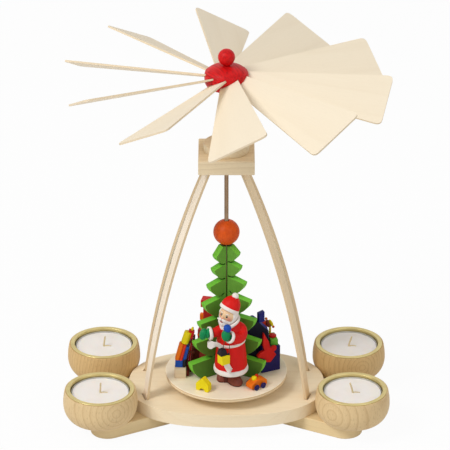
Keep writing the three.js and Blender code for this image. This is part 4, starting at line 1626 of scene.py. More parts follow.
@dataclass(frozen=True)
class Arm:
    """One arm of the figure: its sleeve, its cuff, and the place and size of its mitten's lobes."""

    side: str
    line: tuple[Triple, ...]
    radius: float
    cuff_radius: float
    fingers: tuple[Triple, Triple]
    thumb: tuple[Triple, Triple]
    tilt: float


ARMS = (
    Arm(
        "left", ((-4.6, -1.0, 42.2), (-7.4, -2.5, 41.2), (-9.7, -3.8, 40.5), (-12.2, -4.7, 40.4)), 3.3, 4.6,
        ((-18.4, -6.1, 40.1), (2.7, 3, 4.2)), ((-15.2, -6.1, 40.9), (2, 2.5, 3.9)), 14,
    ),
    Arm(
        "right", ((4.6, 0.6, 43.2), (7, -1.2, 41.4), (7.2, -4.6, 38.8), (5, -9, 38.3), (0.9, -12, 40.6)),
        3.5, 4.3, ((-3.3, -14, 43.2), (3.1, 2.9, 4.2)), ((-2.1, -13.7, 43.4), (2, 2.5, 3.2)), -8,
    ),
)


@dataclass
class GiftBringer:
    """The carved winter figure on the stage, in a long coat and cap, with a list and a lantern."""

    place: Triple = (3, -18.3, STAGE_TOP)
    robe_lift: float = 9.8
    hem_height: float = 4.1
    belt_rise: float = 31.3
    head_place: Triple = (-1.6, -0.8, 52.3)
    head_radius: float = 6.3
    head_turn: float = -125
    head_tilt: float = 12
    cap_tilt: tuple[float, float] = (27, -16)
    cap_rise: float = 3.2
    cap_radius: float = 6.9
    list_width: float = 4.3
    list_thickness: float = 0.35
    pompom_radius: float = 2.35
    knob_place: Triple = (-2.4, -13.3, 46.6)
    lantern_place: Triple = (-4.8, -14.4, 22.8)
    lantern_turn: float = 33
    lantern_width: float = 6.1
    lantern_height: float = 6.3
    cord_radius: float = 0.26
    cord_ends: tuple[tuple[Triple, Triple], ...] = (
        ((-5.5, -14.1, 32.6), (-4.0, -13.4, 39.8)), ((-1.4, -14.7, 30.2), (-0.6, -13.6, 40.4))
    )
    boot_places: tuple[tuple[float, ...], ...] = ((-14, 0.95, -5.6, 4.9), (36, 1.04, 2.6, -1.1))

    def put(
        self, name: str, form: Form, material: Material, slot: Slot, stands_for: Iterable[str] = (),
        **options: object,
    ) -> None:
        """Adds a piece given in the figure's own frame."""
        home = Home(Body.ROTOR.value, slot)
        add_piece(name, form.moved(*self.place), material, home, stands_for, **options)

    def build(self) -> None:
        """Builds the whole figure."""
        self.fur = FUR_WHITE.material()
        self.red = COAT_RED.material()
        self.build_boots()
        self.build_coat()
        self.build_head()
        self.build_cap()
        self.build_arms()
        self.build_list()
        self.build_lantern()

    def build_boots(self) -> None:
        """Builds the pair of boots, with their soles and the block between the heels."""
        pair, soles = Form(), Form()
        for turn, size, x, y in self.boot_places:

            def shoe(point: Vector) -> Vector:
                """Shapes a ball into a boot: flat below, a full toe in front, a shaft over the heel.

                Args:
                    point: A corner of the form.

                Returns:
                    Its new place.
                """
                front = max(0.0, -point.y)
                wide = 3.7 + 0.35 * front
                reach = 6 if point.y < 0 else 5.4
                height = 5.6 if point.z < 0.2 else 5.6 - 2.3 * front
                squarer = [copysign(abs(share) ** 0.72, share) for share in (point.x, point.y)]
                shaped = Vector((squarer[0] * wide, squarer[1] * reach, point.z * height))
                shaped.z = max(shaped.z + 1.6, 0.9)
                return shaped

            foot = ball(1, 40).reshaped(shoe)
            shaft = lathe([(0, 1), (3.3, 1.2), (3.5, 3), (3.35, 9.2), (0, 9.2)], 36).moved(y=1.7)
            plate = lathe([(0, 0), (1, 0), (1, 1), (0, 1)], 40).scaled(3.9, 5.9, 0.95)
            pair = pair + (foot + shaft).scaled(size, size).turned(turn).moved(x, y)
            soles = soles + plate.scaled(size, size).turned(turn).moved(x, y)
        # Two dark brown blocks stand between and behind the heels.
        heel = block(3.8, 3, 4).moved(-2.9, 0.7) + block(8.4, 3.2, 9).moved(0, 3.4)
        self.put("boots", pair, BOOT_BROWN.material(), Slot.BROWN, ["figure_boots"])
        sole_paint = replace(BOOT_BROWN, name="boot sole", colour=BOOT_BROWN.shade, roughness=0.6)
        self.put("boot_soles", soles, sole_paint.material(), Slot.BROWN, eased=0.25)
        self.put("boot_dark_block", heel, sole_paint.material(), Slot.BROWN, eased=0.4)

    def build_coat(self) -> None:
        """Builds the coat with its skirt, and the fur at hem, jacket and neck."""
        low, top = self.robe_lift, self.belt_rise
        skirt = [(10.6, low + 0.7), (10.9, low + self.hem_height), (10.5, 20), (9.9, 26), (9.3, top)]
        jacket = [(9.5, top + 1.9), (9.35, 35.6), (8.9, 39.4), (8.1, 42.4), (6.6, 45.2), (4.7, 47.2)]

        def folded(point: Vector) -> Vector:
            """Lays soft folds into the skirt, deeper toward the hem.

            Args:
                point: A corner of the form.

            Returns:
                Its new place.
            """
            angle = atan2(point.y, point.x)
            depth = max(0.0, (top - point.z) / (top - low)) * 0.16
            wave = sin(7 * angle + 0.4) + 0.6 * sin(11 * angle + 1.9)
            swell = 1 + depth * wave / max(1.0, hypot(point.x, point.y))
            return Vector((point.x * swell, point.y * swell, point.z))

        coat = lathe(flowing([*skirt, *jacket, (2, 47.9), (0, 48)], 6), 96)
        base = lathe([(0, low + 0.7), (10.6, low + 0.7)], 96)
        self.put("coat", (coat + base).reshaped(folded), self.red, Slot.RED, ["figure_robe"])
        hem = [(10.3, low + 0.5), (10.9, low), (11.6, low + 0.5), (11.85, low + 1.7), (11.7, low + 3)]
        hem += [(11.2, low + 3.9), (10.6, low + 4.1), (10.3, low + 3.6)]
        self.put("coat_hem_fur", self.ring(hem, 0.1), self.fur, Slot.CREAM, smoother=1)
        belt = [(8.9, top - 0.1), (9.5, top - 0.2), (9.95, top + 0.5), (9.95, top + 1.5), (9.5, top + 2.2)]
        belt += [(8.9, top + 2.1)]
        sloped = self.ring(belt, 0.08).reshaped(lambda point: point + Vector((0, 0, 0.11 * point.x)))
        self.put("jacket_hem_fur", sloped, self.fur, Slot.CREAM, smoother=1)
        middle = Vector((-0.9, -1.2, 46.9))
        collar = [(5.0, -1.2), (6.3, -1.5), (7.2, -0.6), (7.1, 0.8), (6.2, 1.5), (5.2, 1.1)]

        def laid(point: Vector) -> Vector:
            """Tips the collar toward the front left, as it lies round the beard."""
            return middle + Vector((point.x, point.y, point.z + 0.42 * point.x + 0.16 * point.y))

        self.put("collar_fur", self.ring(collar, 0.1).reshaped(laid), self.fur, Slot.CREAM, smoother=1)

    @staticmethod
    def ring(profile: Profile, amount: float) -> Form:
        """A ring of fur, a little uneven round its way."""
        return lathe(profile, 72, loop=True).reshaped(uneven(amount, 0.5, 3.1))

    def on_head(self, form: Form) -> Form:
        """Moves a form from the head's frame, +X to the face and +Y to its left, into the figure's."""
        return form.turned(self.head_turn).turned(self.head_tilt, "Y").moved(*self.head_place)

    def head_point(self, forward: float, left: float, up: float) -> Triple:
        """A place of the head's frame, in the carousel's own frame."""
        form = Form([Vector((forward, left, up))])
        return tuple(self.on_head(form).moved(*self.place).points[0])

    def build_head(self) -> None:
        """Builds the head: face, hair and beard, whiskers, nose, eyes, brows and mouth."""
        radius = self.head_radius
        skin = Skin(
            "skin paint", (238, 203, 158), (222, 176, 130), (226, 122, 108),
            (self.head_point(4.6, 3.7, -0.9), self.head_point(4.6, -3.7, -0.9)),
        )

        def face_shape(point: Vector) -> Vector:
            """Shapes a ball into a face: a fuller brow, soft sockets, cheeks.

            Args:
                point: A corner of the form.

            Returns:
                Its new place.
            """
            out = point.normalized()
            grow = 1.0
            for side in (1, -1):
                socket = (out - Vector((0.87, 0.36 * side, 0.16)).normalized()).length
                cheek = (out - Vector((0.74, 0.56 * side, -0.2)).normalized()).length
                grow += 0.035 * exp(-((cheek / 0.3) ** 2)) - 0.04 * exp(-((socket / 0.2) ** 2))
            grow += 0.02 * exp(-(((out - Vector((0.8, 0, 0.55)).normalized()).length / 0.4) ** 2))
            return point * grow * (radius - 0.25)

        head = ball(1, 72).reshaped(face_shape)
        self.put("face", self.on_head(head), skin.material(), Slot.CREAM, ["figure_head"])

        def hairy(point: Vector) -> Vector:
            """Shapes a ball into hair and a full beard, drawn in where the face shows.

            Args:
                point: A corner of the form.

            Returns:
                Its new place.
            """
            out = point.normalized()
            edge = 1 / (1 + exp(-(out.z + 0.44) * 22))
            opening = edge * (1 / (1 + exp(-(out.x - 0.24 - 0.22 * abs(out.y)) * 16)))
            chin = Vector((0.62, 0, -0.8)).normalized()
            away = out.angle(chin)
            reach = radius + 0.35 - 1.5 * opening + 2.9 * exp(-((away / 0.62) ** 2))
            strands = 0.1 * sin(out.y * 26 + 2.2 * sin(out.z * 5)) * (1 - opening)
            return out * (reach + strands)

        hair = ball(1, 128).reshaped(hairy)
        self.put("hair_and_beard", self.on_head(hair), self.fur, Slot.CREAM)
        whiskers = Form()
        for side in (1, -1):
            path = flowing([(6.9, 0.2 * side, -1.7), (7.1, 1.5 * side, -1.9), (6.6, 3.1 * side, -2.6)], 8)
            path += flowing([(6.6, 3.1 * side, -2.6), (5.9, 4.3 * side, -2.9)], 5)[1:]
            shares = shares_of(path)
            radii = [0.25 + 0.95 * sin(pi * min(1, 0.22 + 0.78 * share)) for share in shares]
            whiskers += tube(path, radii, 20, 0.8)
        self.put("moustache", self.on_head(whiskers), self.fur, Slot.CREAM, smoother=1)
        nose = ball(1, 32).scaled(1.15, 0.95, 1.05).moved(6.75, 0, -0.75)
        bridge = tube([(5.9, 0, 1.3), (6.4, 0, 0.4), (6.9, 0, -0.6)], [0.35, 0.5, 0.7], 20)
        nose_paint = replace(skin, name="nose paint", cheeks=(self.head_point(7.9, 0, -0.9),), reach=1.8)
        self.put("nose", self.on_head(nose + bridge), nose_paint.material(), Slot.CREAM, smoother=1)
        eyes, glints, brows = Form(), Form(), Form()
        for side in (1, -1):
            eyes += ball(1, 28).scaled(0.42, 0.72, 0.82).moved(5.62, 2.15 * side, 0.75)
            glints += ball(0.2, 16).moved(6.02, 2.0 * side, 1.1)
            path = flowing([(5.75, 1.2 * side, 2.15), (5.5, 2.4 * side, 2.6), (4.8, 3.6 * side, 2.25)], 8)
            shares = shares_of(path)
            brows += tube(path, [0.12 + 0.34 * sin(pi * (0.15 + 0.8 * s)) for s in shares], 16, 0.7)
        self.put("eyes", self.on_head(eyes), EYE_DARK.material(), Slot.BROWN)
        glint = replace(SCROLL_WHITE, name="eye glint")
        self.put("eye_glints", self.on_head(glints), glint.material(), Slot.CREAM)
        self.put("eyebrows", self.on_head(brows), self.fur, Slot.CREAM)
        path = flowing([(7.05, -1.1, -3.3), (7.35, 0, -3.5), (7.05, 1.1, -3.3)], 8)
        radii = [0.1 + 0.3 * sin(pi * step / (len(path) - 1)) for step in range(len(path))]
        lips = tube(path, radii, 14)
        self.put("mouth", self.on_head(lips), LIP_RED.material(), Slot.RED)

    def on_cap(self, form: Form) -> Form:
        """Tips a form of the cap and sets it on the head."""
        x, y, z = self.head_place
        return form.turned(self.cap_tilt[0], "Y").turned(self.cap_tilt[1], "X").moved(x, y, z + self.cap_rise)

    def build_cap(self) -> None:
        """Builds the cap: cloth, fur band and pompom."""
        radius = self.cap_radius
        cloth = flowing([(6.5, 1.2), (6.5, 3), (6.1, 5.3), (4.7, 7.9), (2.6, 9.9), (0.9, 10.6), (0, 10.7)], 6)

        def creased(point: Vector) -> Vector:
            """Draws the cloth in a little toward the pompom."""
            angle = atan2(point.y, point.x)
            return point * (1 + 0.012 * sin(6 * angle + 0.6) * min(1, max(0.0, (point.z - 3) / 5)))

        dome = (lathe(cloth, 80) + lathe([(0, 1.2), (6.5, 1.2)], 80)).reshaped(creased)
        self.put("cap_cloth", self.on_cap(dome), self.red, Slot.RED, ["figure_cap"])
        band = [(radius - 1.1, 0.3), (radius - 0.3, 0), (radius, 0.6), (radius, 2.1), (radius - 0.3, 2.7)]
        band += [(radius - 1.1, 2.6)]
        self.put("cap_fur_band", self.on_cap(self.ring(band, 0.08)), self.fur, Slot.CREAM, smoother=1)
        tuft = ball(self.pompom_radius, 40).reshaped(uneven(0.22, 1.1, 5.3))
        x, y, z = self.head_place
        self.put("cap_pompom", tuft.moved(x + 4.5, y + 2, z + 12.6), self.fur, Slot.CREAM, smoother=1)

    def build_arms(self) -> None:
        """Builds both arms, each a sleeve, a fur cuff and a mitten."""
        green = MITTEN_GREEN.material()
        for arm in ARMS:
            path = flowing(arm.line, 8)
            shares = shares_of(path)
            radii = [arm.radius * (0.96 + 0.12 * sin(pi * s) - 0.06 * s) for s in shares]

            def gathered(point: Vector) -> Vector:
                """Lays a few soft creases into the sleeve."""
                return point + Vector((0, 0, 0.09 * sin(point.x * 2.1 + point.y * 1.7)))

            sleeve = tube(path, radii, 36).reshaped(gathered)
            self.put(f"sleeve_{arm.side}", sleeve, self.red, Slot.RED, [f"figure_arm_{arm.side}"])
            wrist, along = Vector(path[-1]), (Vector(path[-1]) - Vector(path[-3])).normalized()
            wide = arm.cuff_radius
            cuff = [(wide - 1.6, -1.1), (wide - 0.5, -1.3), (wide, -0.6), (wide, 0.7), (wide - 0.5, 1.3)]
            ring = self.ring([*cuff, (wide - 1.6, 1.1)], 0.08).aimed(along).moved(*(wrist + along * 1.9))
            self.put(f"cuff_{arm.side}", ring, self.fur, Slot.CREAM, smoother=1)
            lobes = Form()
            for place, size in (arm.fingers, arm.thumb):
                lobes += ball(1, 40).scaled(*size).turned(arm.tilt, "Y").moved(*place)
            palm = tube([wrist, wrist + along * 2.2], [arm.radius * 0.75, arm.radius * 0.5], 24)
            self.put(f"mitten_{arm.side}", lobes + palm, green, Slot.GREEN, smoother=1)
        side = rounded([(0, -0.9), (1.8, -0.9), (2.65, 1), (2.5, 3.1), (1.3, 4.2), (0, 4.3)], 1.2, 6)
        self.put("held_knob", lathe(side, 40).moved(*self.knob_place), TOY_BLUE.material(), Slot.NAVY)

    def build_list(self) -> None:
        """Builds the long list: a roll under the left cuff, and the strip down the coat."""
        roll = []
        for step in range(27):
            angle = radians(-90 - 18 * (26 - step))
            reach = 0.6 + 1.05 * step / 26
            roll.append((-14.1 + cos(angle) * reach, -7.9 + sin(angle) * reach, 33.6))
        run = [(-12.2, -10.2, 34.4), (-10, -10.8, 35), (-7.4, -11.2, 34), (-5.4, -11.5, 31), (-4, -11.9, 26)]
        run += [(-3, -11.9, 20.6), (-1.5, -12.3, 17.4), (-0.6, -12.9, 16.2), (0.2, -13.5, 16.3)]
        path = [*roll[:-1], *flowing([roll[-1], *run], 5)]
        upright, tipped = UP, Vector((0, -0.4, 0.92))
        slanted, level = Vector((0.7, -0.3, 0.65)), Vector((0.9, -0.15, 0.45))
        sides = []
        for place in path:
            fall = min(1.0, max(0.0, (34.6 - place[2]) / 4)) if place[0] > -10 else 0
            turn = min(1.0, max(0.0, (31 - place[2]) / 6))
            lean = min(1.0, max(0.0, (place[0] + 12.2) / 2)) if place[1] < -9.4 else 0
            sides.append(upright.lerp(tipped, lean).lerp(slanted, fall).lerp(level, turn))

        def curled(point: Vector) -> Vector:
            """Draws the roll longer in its middle, as its end curls.

            Args:
                point: A corner of the form.

            Returns:
                Its new place.
            """
            if point.x < -12:
                out = min(1.0, (-12 - point.x) / 3.8)
                point.z = 33.3 + (point.z - 33.6) * (1.25 - 0.5 * out**2)
            return point

        strip = ribbon(path, sides, self.list_width, self.list_thickness).reshaped(curled)
        self.put("list", strip, SCROLL_WHITE.material(), Slot.CREAM, crease=50)

    def build_lantern(self) -> None:
        """Builds the lantern: box, roof, cords and its small weight."""

        def hung(form: Form) -> Form:
            """Sets a form of the lantern in its place."""
            return form.turned(self.lantern_turn).moved(*self.lantern_place)

        yellow, black = replace(TOY_YELLOW, name="lantern paint").material(), LANTERN_BLACK.material()
        box = hung(block(self.lantern_width, self.lantern_width, self.lantern_height))
        self.put("lantern_box", box, yellow, Slot.YELLOW, ["lantern"], eased=0.25)
        slope = [(3.65, 0), (3.75, 0.2), (3.7, 0.5), (2.75, 3.8), (2.45, 4.2), (0, 4.4)]
        roof = lathe([(0, 0), *slope], 4).turned(45).moved(-0.7, 0.75, self.lantern_height)
        self.put("lantern_roof", hung(roof), black, Slot.NAVY, eased=0.2)
        cords = Form()
        for start, end in self.cord_ends:
            line = flowing([start, tuple((a + b) / 2 for a, b in zip(start, end)), end], 5)
            cords += tube(line, [self.cord_radius] * len(line), 12)
        self.put("lantern_cords", cords, CORD_COTTON.material(), Slot.BROWN)
        weight = ball(1, 24).scaled(0.85, 0.85, 0.95).moved(-1.5, -14.9, 29.9)
        self.put("lantern_weight", weight, black, Slot.NAVY)


@dataclass
class Toy:
    """A toy on the stage. Its pieces are given in its own frame."""

    x: float
    y: float
    turn: float
    node: str

    def put(
        self, name: str, form: Form, paint: Paint | Wood, slot: Slot, stands_for: bool = False,
        eased: float = 0.3, **options: object,
    ) -> None:
        """Adds one piece of the toy.

        Args:
            name: The piece's name.
            form: Its form, in the toy's own frame.
            paint: Its finish.
            slot: The record's slot for it.
            stands_for: Whether it replaces the toy's node.
            eased: How far its edges are rounded over.
            options: What else add_piece takes.
        """
        placed = form.turned(self.turn).moved(self.x, self.y, STAGE_TOP)
        nodes = [self.node] if stands_for else []
        home = Home(Body.ROTOR.value, slot)
        add_piece(name, placed, paint.material(), home, nodes, eased=eased, **options)


@dataclass
class ToyHouse(Toy):
    """The small sawn house with its arch."""

    width: float = 9.6
    eaves: float = 5.2
    ridge: float = 9.4
    thickness: float = 4.8
    arch: float = 2

    def build(self) -> None:
        """Builds the house."""
        half = self.width / 2
        gate = [pi * step / 20 for step in range(21)]
        line = [(self.arch, 0), (half, 0), (half, self.eaves), (0.4, self.ridge), (-0.4, self.ridge)]
        line += [(-half, self.eaves), (-half, 0), (-self.arch, 0)]
        gateway = [(-self.arch * cos(a), self.arch * sin(a)) for a in gate[1:-1]]
        outline = rounded(line, 0.9, 4) + gateway
        board = prism(outline, self.thickness).upright(0)
        self.put("house_block", board, TOY_YELLOW, Slot.YELLOW, True, 0.35)


@dataclass
class ToyCar(Toy):
    """The small car with its driver."""

    length: float = 13.4
    width: float = 6.4
    roof: float = 7
    base: float = 5.6
    wheel_shift: float = -0.4
    wheel: float = 2.1
    tread: float = 0.8
    side: tuple[tuple[float, float], ...] = (
        (-0.5, 0.14), (0.5, 0.14), (0.5, 0.7), (0.12, 1), (-0.18, 0.94), (-0.5, 0.56)
    )

    def build(self) -> None:
        """Builds the body, the wheels with their axles, and the driver."""
        line = [(self.length * along, self.roof * up) for along, up in self.side]
        start = ((line[0][0] + line[1][0]) / 2, line[0][1])
        outline = rounded([start, *line[1:], line[0], start], 1.1, 5)[:-1]
        self.put("car_body", prism(outline, self.width).upright(0), TOY_ORANGE, Slot.ORANGE, True, 0.4)
        wheels, axles = Form(), Form()
        radius, tread = self.wheel, self.tread
        face = [(0, 0.25), (0.7, 0.25), (0.75, 0), (radius - 0.35, 0), (radius, 0.35), (radius, tread)]
        face.append((0, tread))
        for end in (-1, 1):
            x = end * self.base / 2 + self.wheel_shift
            for side in (-1, 1):
                disc = lathe(face, 48).turned(-90 * side, "X")
                wheels += disc.moved(x, side * (self.width / 2 + tread + 0.05), radius)
            rod = lathe([(0, 0), (0.55, 0), (0.55, self.width), (0, self.width)], 20).turned(90, "X")
            axles += rod.moved(x, self.width / 2, radius)
        self.put("car_wheels", wheels, TOY_NAVY, Slot.NAVY, eased=0.12)
        self.put("car_axles", axles, TOY_BROWN, Slot.BROWN, eased=0)
        driver = lathe(rounded([(0, 0), (1.6, 0), (1.75, 1), (1.7, 2.6), (0, 3)], 0.7), 36)
        self.put("car_driver", driver.moved(-2, 0, 5.7), TOY_YELLOW, Slot.YELLOW, eased=0)
        luggage = lathe(rounded([(0, 0), (1.2, 0), (1.2, 2.9), (0, 2.9)], 0.5), 32)
        self.put("car_luggage", luggage.moved(0.9, 1, 5.6), TOY_SCARLET, Slot.RED, eased=0)


class Shape(Enum):
    """How a part of a toy is made."""

    SAWN = "sawn"
    TURNED = "turned"
    CARVED = "carved round"


@dataclass(frozen=True)
class Part:
    """One part of a stacked toy, with its width, depth and height, and the middle of its underside.

    It leans to the right by an angle in degrees. An outline, where it has one, is its front, cut from a board
    as thick as its depth, along a heading in degrees.
    """

    name: str
    size: Triple
    place: Triple
    paint: Paint | SawnPaint | Wood
    slot: Slot
    lean: float = 0
    shape: Shape = Shape.SAWN
    eased: float = 0.35
    outline: Profile = ()
    heading: float = 0

    def form(self) -> Form:
        """The part's form, leant over and put in its place.

        Returns:
            The form.
        """
        width, depth, height = self.size
        if self.shape is Shape.TURNED:
            side = rounded([(0, 0), (width / 2, 0), (width / 2, height), (0, height)], 0.5)
            made = lathe(side, 48).scaled(y=depth / width)
        elif self.shape is Shape.CARVED:
            made = ball(0.5, 36).moved(z=0.5).scaled(width, depth, height)
        elif self.outline:
            made = prism(self.outline, depth).upright(self.heading)
        else:
            made = block(width, depth, height)
        return made.turned(self.lean, "Y").moved(*self.place)


@dataclass
class StackedToy(Toy):
    """A toy of separate parts, of which the first stands for its node.

    Parts that lean are cut flat at the stage. All are notched for a neighbour where one is named.
    """

    notched_for: str = ""
    parts: tuple[Part, ...] = ()

    def build(self) -> None:
        """Builds the toy's parts in their order."""
        room = block(90, 90, 80).moved(z=STAGE_TOP)
        for number, part in enumerate(self.parts):
            cuts = [(room, "INTERSECT")] if part.lean and part.place[2] < 1 else []
            if self.notched_for:
                cuts.append((grown_node(self.notched_for, 0.3), "DIFFERENCE"))
            eased = part.eased if part.shape is Shape.SAWN else 0
            leads = number == 0 and bool(self.node)
            self.put(part.name, part.form(), part.paint, part.slot, leads, eased, cuts=cuts)


PALE_BLOCK = replace(
    MAPLE, name="toy maple", grain=(1, 0, 0), pith=(-40, -60, 0), ring=2.2, light=(228, 206, 174),
    dark=(176, 142, 102), mottle=0.5,
)
PLANK_BROWN = Paint("plank brown", (122, 38, 30), (72, 22, 18), 0.5)
# The column's pale pink sides are partly painted light on its lit side, and the stain paints shade in its
# joins.
CHEST_RED = SawnPaint("chest red", (226, 140, 124), (204, 40, 36), (-0.208, -0.978, 0))
FADED_RED = Paint("faded red", (176, 62, 50), (112, 30, 26), 0.55, uneven=0.8, fibre=0.7)
# Painted shade: the slanted box's front face is near black where the tree shades it, and its edges are a
# lighter navy, as painted light.
SHADED_BOX_NAVY = SawnPaint("slanted box navy with painted shade", (46, 54, 132), (13, 15, 40), (0.174, -0.985, 0))
ARCH_TOP = [(-0.4 - 3.2 * step / 8, 6.4 + 1.8 * (1 - (step / 8) ** 2)) for step in range(-8, 9)]
ARCH = [(-3.6, 0), (2.8, 0), *ARCH_TOP]
BOX_SIDE = ((-14.4, 1), (-6.6, 1), (-6.6, 12), (0, 12), (0, 29.3), (-8.6, 38.1), (-14.4, 38.1))
CHIMNEY_SIDE = ((-2.15, 36.2), (2.15, 36.2), (2.15, 44), (-2.15, 42.9))
STAR_SIDE = (
    (-2.2, 12.7), (-0.4, 9), (1.35, 6), (2.1, 2.9), (2.5, 0.1), (5.7, 1.1), (7.2, 0.7), (7.2, -1.4),
    (5.3, -3), (7, -5.4), (4.9, -7.9), (2.8, -10.4), (-0.2, -9.8), (-1.2, -7.2), (-3.6, -6.2),
    (-6.4, -5), (-7, -4), (-4.9, -1.9), (-1.6, -0.6), (-2.8, 3.1), (-2.8, 7.7),
)

STACKED_TOYS = (
    StackedToy(
        -32, -9, 0, "toy_train",
        parts=(
            Part(
                "train_base", (6.4, 7.8, 8.2), (0.8, 0, 0), PALE_BLOCK, Slot.MAPLE, outline=ARCH, heading=90
            ),
            Part("train_cab", (5, 5.2, 5.1), (-0.2, 0, 7.9), TOY_BLUE, Slot.NAVY, 2),
            # The boiler is red; its orange left half is painted light on its lit side.
            Part("train_boiler_lit_half", (3, 5, 13.6), (-1.5, 0, 12.5), TOY_ORANGE, Slot.ORANGE, 14.5, eased=1.2),
            Part("train_boiler_side", (2, 4.8, 13.4), (0.9, 0, 11.9), TOY_SCARLET, Slot.RED, 14.5, eased=0.5),
            Part("train_tender", (2.2, 4.4, 16.2), (2.3, 0.4, 7.4), TOY_BLUE, Slot.NAVY, 13),
            Part("train_wheel", (3.4, 5, 7.8), (3, -0.6, 6.4), TOY_BLACK, Slot.NAVY, 8, Shape.CARVED),
            Part("train_drum", (5.2, 5.2, 8.8), (3.8, 0, 25.4), TOY_YELLOW, Slot.YELLOW, 17, Shape.TURNED),
            Part("train_stack", (3.8, 4, 5.6), (7.2, 1, 29), TOY_RED, Slot.RED, 17),
            Part("train_tip", (1.8, 1.8, 3), (8.7, 0.8, 34.2), TOY_YELLOW, Slot.YELLOW, 17, Shape.CARVED),
            Part("sled_foot", (4, 8, 4.4), (4.6, 3.4, 0), PLANK_BROWN, Slot.BROWN),
            Part("sled_board", (4.6, 1.6, 17), (10.6, 9.4, 0), PLANK_BROWN, Slot.BROWN, 4),
            Part("sled_plank_left", (1.35, 3.4, 27.6), (4.5, 6.8, 0), PLANK_BROWN, Slot.RED, 6),
            Part("sled_plank_middle", (1.35, 3.4, 29), (6, 6.8, 0), TOY_RED, Slot.RED, 6),
            Part("sled_plank_right", (1.35, 3.4, 27.6), (7.5, 6.8, 0), PLANK_BROWN, Slot.RED, 6),
            Part("sled_slat_low", (5.4, 1.2, 1.6), (6.8, 4.7, 7), TOY_BROWN, Slot.BROWN, 6),
            Part("sled_slat_middle", (5.4, 1.2, 1.6), (7.7, 4.7, 15), TOY_BROWN, Slot.BROWN, 6),
            Part("sled_slat_high", (5.4, 1.2, 1.6), (8.5, 4.7, 23), TOY_BROWN, Slot.BROWN, 6),
        ),
    ),
    StackedToy(
        -11.8, 13.4, -12, "toy_red_chest",
        parts=(
            Part("red_chest_column", (8.2, 6.6, 42.2), (0.7, 0, 0), CHEST_RED, Slot.RED),
            Part("red_chest_lid", (10.2, 7.6, 5.2), (0, 0, 42), TOY_RED, Slot.RED, eased=0.45),
            Part("red_chest_foot", (12, 8, 24.7), (-1.2, 0, 0), FADED_RED, Slot.RED, eased=0.5),
            Part("red_chest_bar", (3, 3, 4.5), (-4.7, 0, 31), TOY_ORANGE, Slot.ORANGE),
            Part("red_chest_band", (12.3, 8.3, 1.6), (-1.2, 0, 20), TOY_ORANGE, Slot.ORANGE, eased=0.25),
        ),
    ),
    StackedToy(
        28.3, 1.3, 24.8, "toy_navy_chest",
        parts=(
            Part("navy_chest_box", (14, 9.4, 18.6), (0, 0, 0), TOY_NAVY, Slot.NAVY, eased=0.5),
            Part("navy_chimney", (4.3, 3.4, 8), (-4.6, 2.2, 0), TOY_INDIGO, Slot.NAVY, outline=CHIMNEY_SIDE),
        ),
    ),
    StackedToy(
        28.7, 0.7, 10, "",
        parts=(
            Part(
                "slanted_box", (14.4, 6.4, 26), (0, 3.2, 0), SHADED_BOX_NAVY, Slot.NAVY, outline=BOX_SIDE, eased=0.5
            ),
            Part(
                "slanted_box_knob", (3.8, 3.8, 3.8), (-11.2, 2, 37.2), TOY_INDIGO, Slot.NAVY, 0, Shape.CARVED
            ),
        ),
    ),
    StackedToy(
        28.3, 1.3, 24.8, "toy_star",
        notched_for="tree_vane_right",
        parts=(
            Part(
                "star_board", (14, 2.2, 23), (-4.2, -5.8, 19), TOY_RED, Slot.RED,
                outline=STAR_SIDE, eased=0.25,
            ),
        ),
    ),
    StackedToy(
        31.1, 5, 13, "toy_green_chest",
        parts=(
            Part("green_slab", (5.2, 11, 4.3), (0.2, 0, 18.6), TOY_GREEN, Slot.GREEN),
            Part("green_block", (7, 6, 19.6), (0.3, 8.2, 0), TOY_GREEN, Slot.GREEN),
            Part("green_slab_disc", (5.2, 5.2, 1.5), (0.1, -0.4, 22.9), TOY_RED, Slot.RED, 0, Shape.TURNED),
            Part("bird_leg", (1.4, 1.6, 5.6), (-0.5, 4.5, 22.6), TOY_YELLOW, Slot.YELLOW),
            Part("bird_body", (3.8, 3, 6.4), (-0.3, 4.8, 27.4), TOY_BROWN, Slot.BROWN, -25, Shape.CARVED),
            Part("bird_wing", (2.2, 2.2, 6), (1.4, 3.9, 28.2), TOY_YELLOW, Slot.YELLOW, -25, Shape.CARVED),
            Part("bird_beak", (1.8, 1.8, 1.8), (1.7, 4, 27), TOY_RED, Slot.RED, 0, Shape.CARVED),
            Part("bird_crest", (1.9, 1.9, 1.9), (-3.1, 5, 33.2), TOY_ORANGE, Slot.ORANGE, 0, Shape.CARVED),
            Part("bird_tail", (3.6, 2.6, 5), (-4, 5.4, 27.4), TOY_SCARLET, Slot.RED, -12, eased=0.5),
        ),
    ),
)


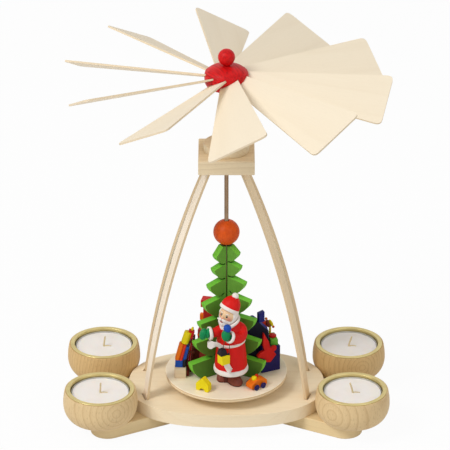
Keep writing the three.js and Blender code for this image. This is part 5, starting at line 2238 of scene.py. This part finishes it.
@dataclass
class Studio:
    """The pale floor, the soft lights and the camera."""

    camera_distance: float = 1909.4
    camera_elevation: float = 25.96
    camera_x: float = -0.96
    aim_height: float = 138.15
    lens: float = 230
    floor_size: float = 12000
    floor_colour: Colour = (0.85, 0.85, 0.85)
    floor_glow: float = 0.95
    ambient: float = 0.56

    def build(self) -> None:
        """Builds the floor, the world, the lights and the camera."""
        self.build_floor()
        self.build_world()
        self.add_light("key light", (-1.45, -0.95, 1.9), 0.9, 31)
        self.add_light("fill light", (1.4, -1.6, 1.5), 1.2, 8)
        self.add_light("top light", (0.2, 0.3, 2.3), 1.2, 2)
        self.build_camera()

    @staticmethod
    def background_rays(graph: Graph) -> Value:
        """1 for the rays that show the background: from the camera, and off or through a glossy surface.

        Args:
            graph: The nodes that it joins.

        Returns:
            The mask.
        """
        shown = graph.node("ShaderNodeLightPath", output="Is Camera Ray")
        for name in ("Is Glossy Ray", "Is Transmission Ray"):
            other = graph.node("ShaderNodeLightPath", output=name)
            shown = graph.node("ShaderNodeMath", {"operation": "MAXIMUM"}, {0: shown, 1: other})
        return shown

    def build_floor(self) -> None:
        """Builds the plain floor, which keeps the object's shadow."""
        half = self.floor_size / 2
        form = Form()
        corners = ((-half, -half), (half, -half), (half, half), (-half, half))
        form.faces = [tuple(form.corner(x, y, -0.02) for x, y in corners)]
        floor = linked("floor", form.mesh("floor"))
        material = bpy.data.materials.new("floor")
        material.use_nodes = True
        graph = Graph(material.node_tree)
        plain = graph.node("ShaderNodeBsdfDiffuse", None, {"Color": self.floor_colour})
        white = graph.node("ShaderNodeEmission")
        share = self.background_rays(graph) * self.floor_glow
        mixed = graph.node("ShaderNodeMixShader", None, {0: share, 1: plain, 2: white})
        graph.node("ShaderNodeOutputMaterial", None, {"Surface": mixed})
        floor.data.materials.append(material)

    def build_world(self) -> None:
        """Builds the world: even soft light, and plain white where it is seen."""
        world = bpy.data.worlds.new("studio")
        bpy.context.scene.world = world
        world.use_nodes = True
        graph = Graph(world.node_tree)
        soft = graph.node("ShaderNodeBackground", None, {"Strength": self.ambient})
        white = graph.node("ShaderNodeBackground", None, {"Color": (1.0, 1.0, 1.0)})
        share = self.background_rays(graph)
        mixed = graph.node("ShaderNodeMixShader", None, {0: share, 1: soft, 2: white})
        graph.node("ShaderNodeOutputWorld", None, {"Surface": mixed})

    def add_light(self, name: str, place: Triple, size: float, power: float) -> None:
        """Adds a square soft light, in metres and watts, that looks at the object.

        Args:
            name: Its name.
            place: Where it hangs.
            size: The length of its side.
            power: Its power.
        """
        lamp = bpy.data.lights.new(name, "AREA")
        lamp.size = size
        lamp.energy = power
        light = linked(name, lamp)
        light.location = place
        away = Vector(place) - Vector((0, 0, 0.13))
        light.rotation_euler = away.to_track_quat("Z", "Y").to_euler()

    def build_camera(self) -> None:
        """Sets the camera at the photograph's viewing angle."""
        lens = bpy.data.cameras.new("camera")
        lens.lens = self.lens
        lens.sensor_width = 36
        camera = linked("camera", lens)
        rise = radians(self.camera_elevation)
        away = Vector((0, -cos(rise), sin(rise)))
        target = Vector((self.camera_x, 0, self.aim_height)) * MM
        camera.location = target + away * (self.camera_distance * MM)
        camera.rotation_euler = away.to_track_quat("Z", "Y").to_euler()
        bpy.context.scene.camera = camera


def main() -> None:
    """Builds the carousel from the stand up and the studio."""
    logging.basicConfig(level=logging.INFO, format="%(name)s: %(message)s")
    noise.seed_set(NOISE_SEED)
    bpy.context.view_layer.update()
    Stand().build()
    CandleCups().build()
    Rotor().build()
    Tree().build()
    GiftBringer().build()
    ToyHouse(-15.3, -28.6, -29, "toy_house").build()
    ToyCar(20.2, -24, 38, "toy_car").build()
    for toy in STACKED_TOYS:
        toy.build()
    Studio().build()
    scene = bpy.context.scene
    scene.view_settings.view_transform = "Standard"


if __name__ == "__main__":
    main()
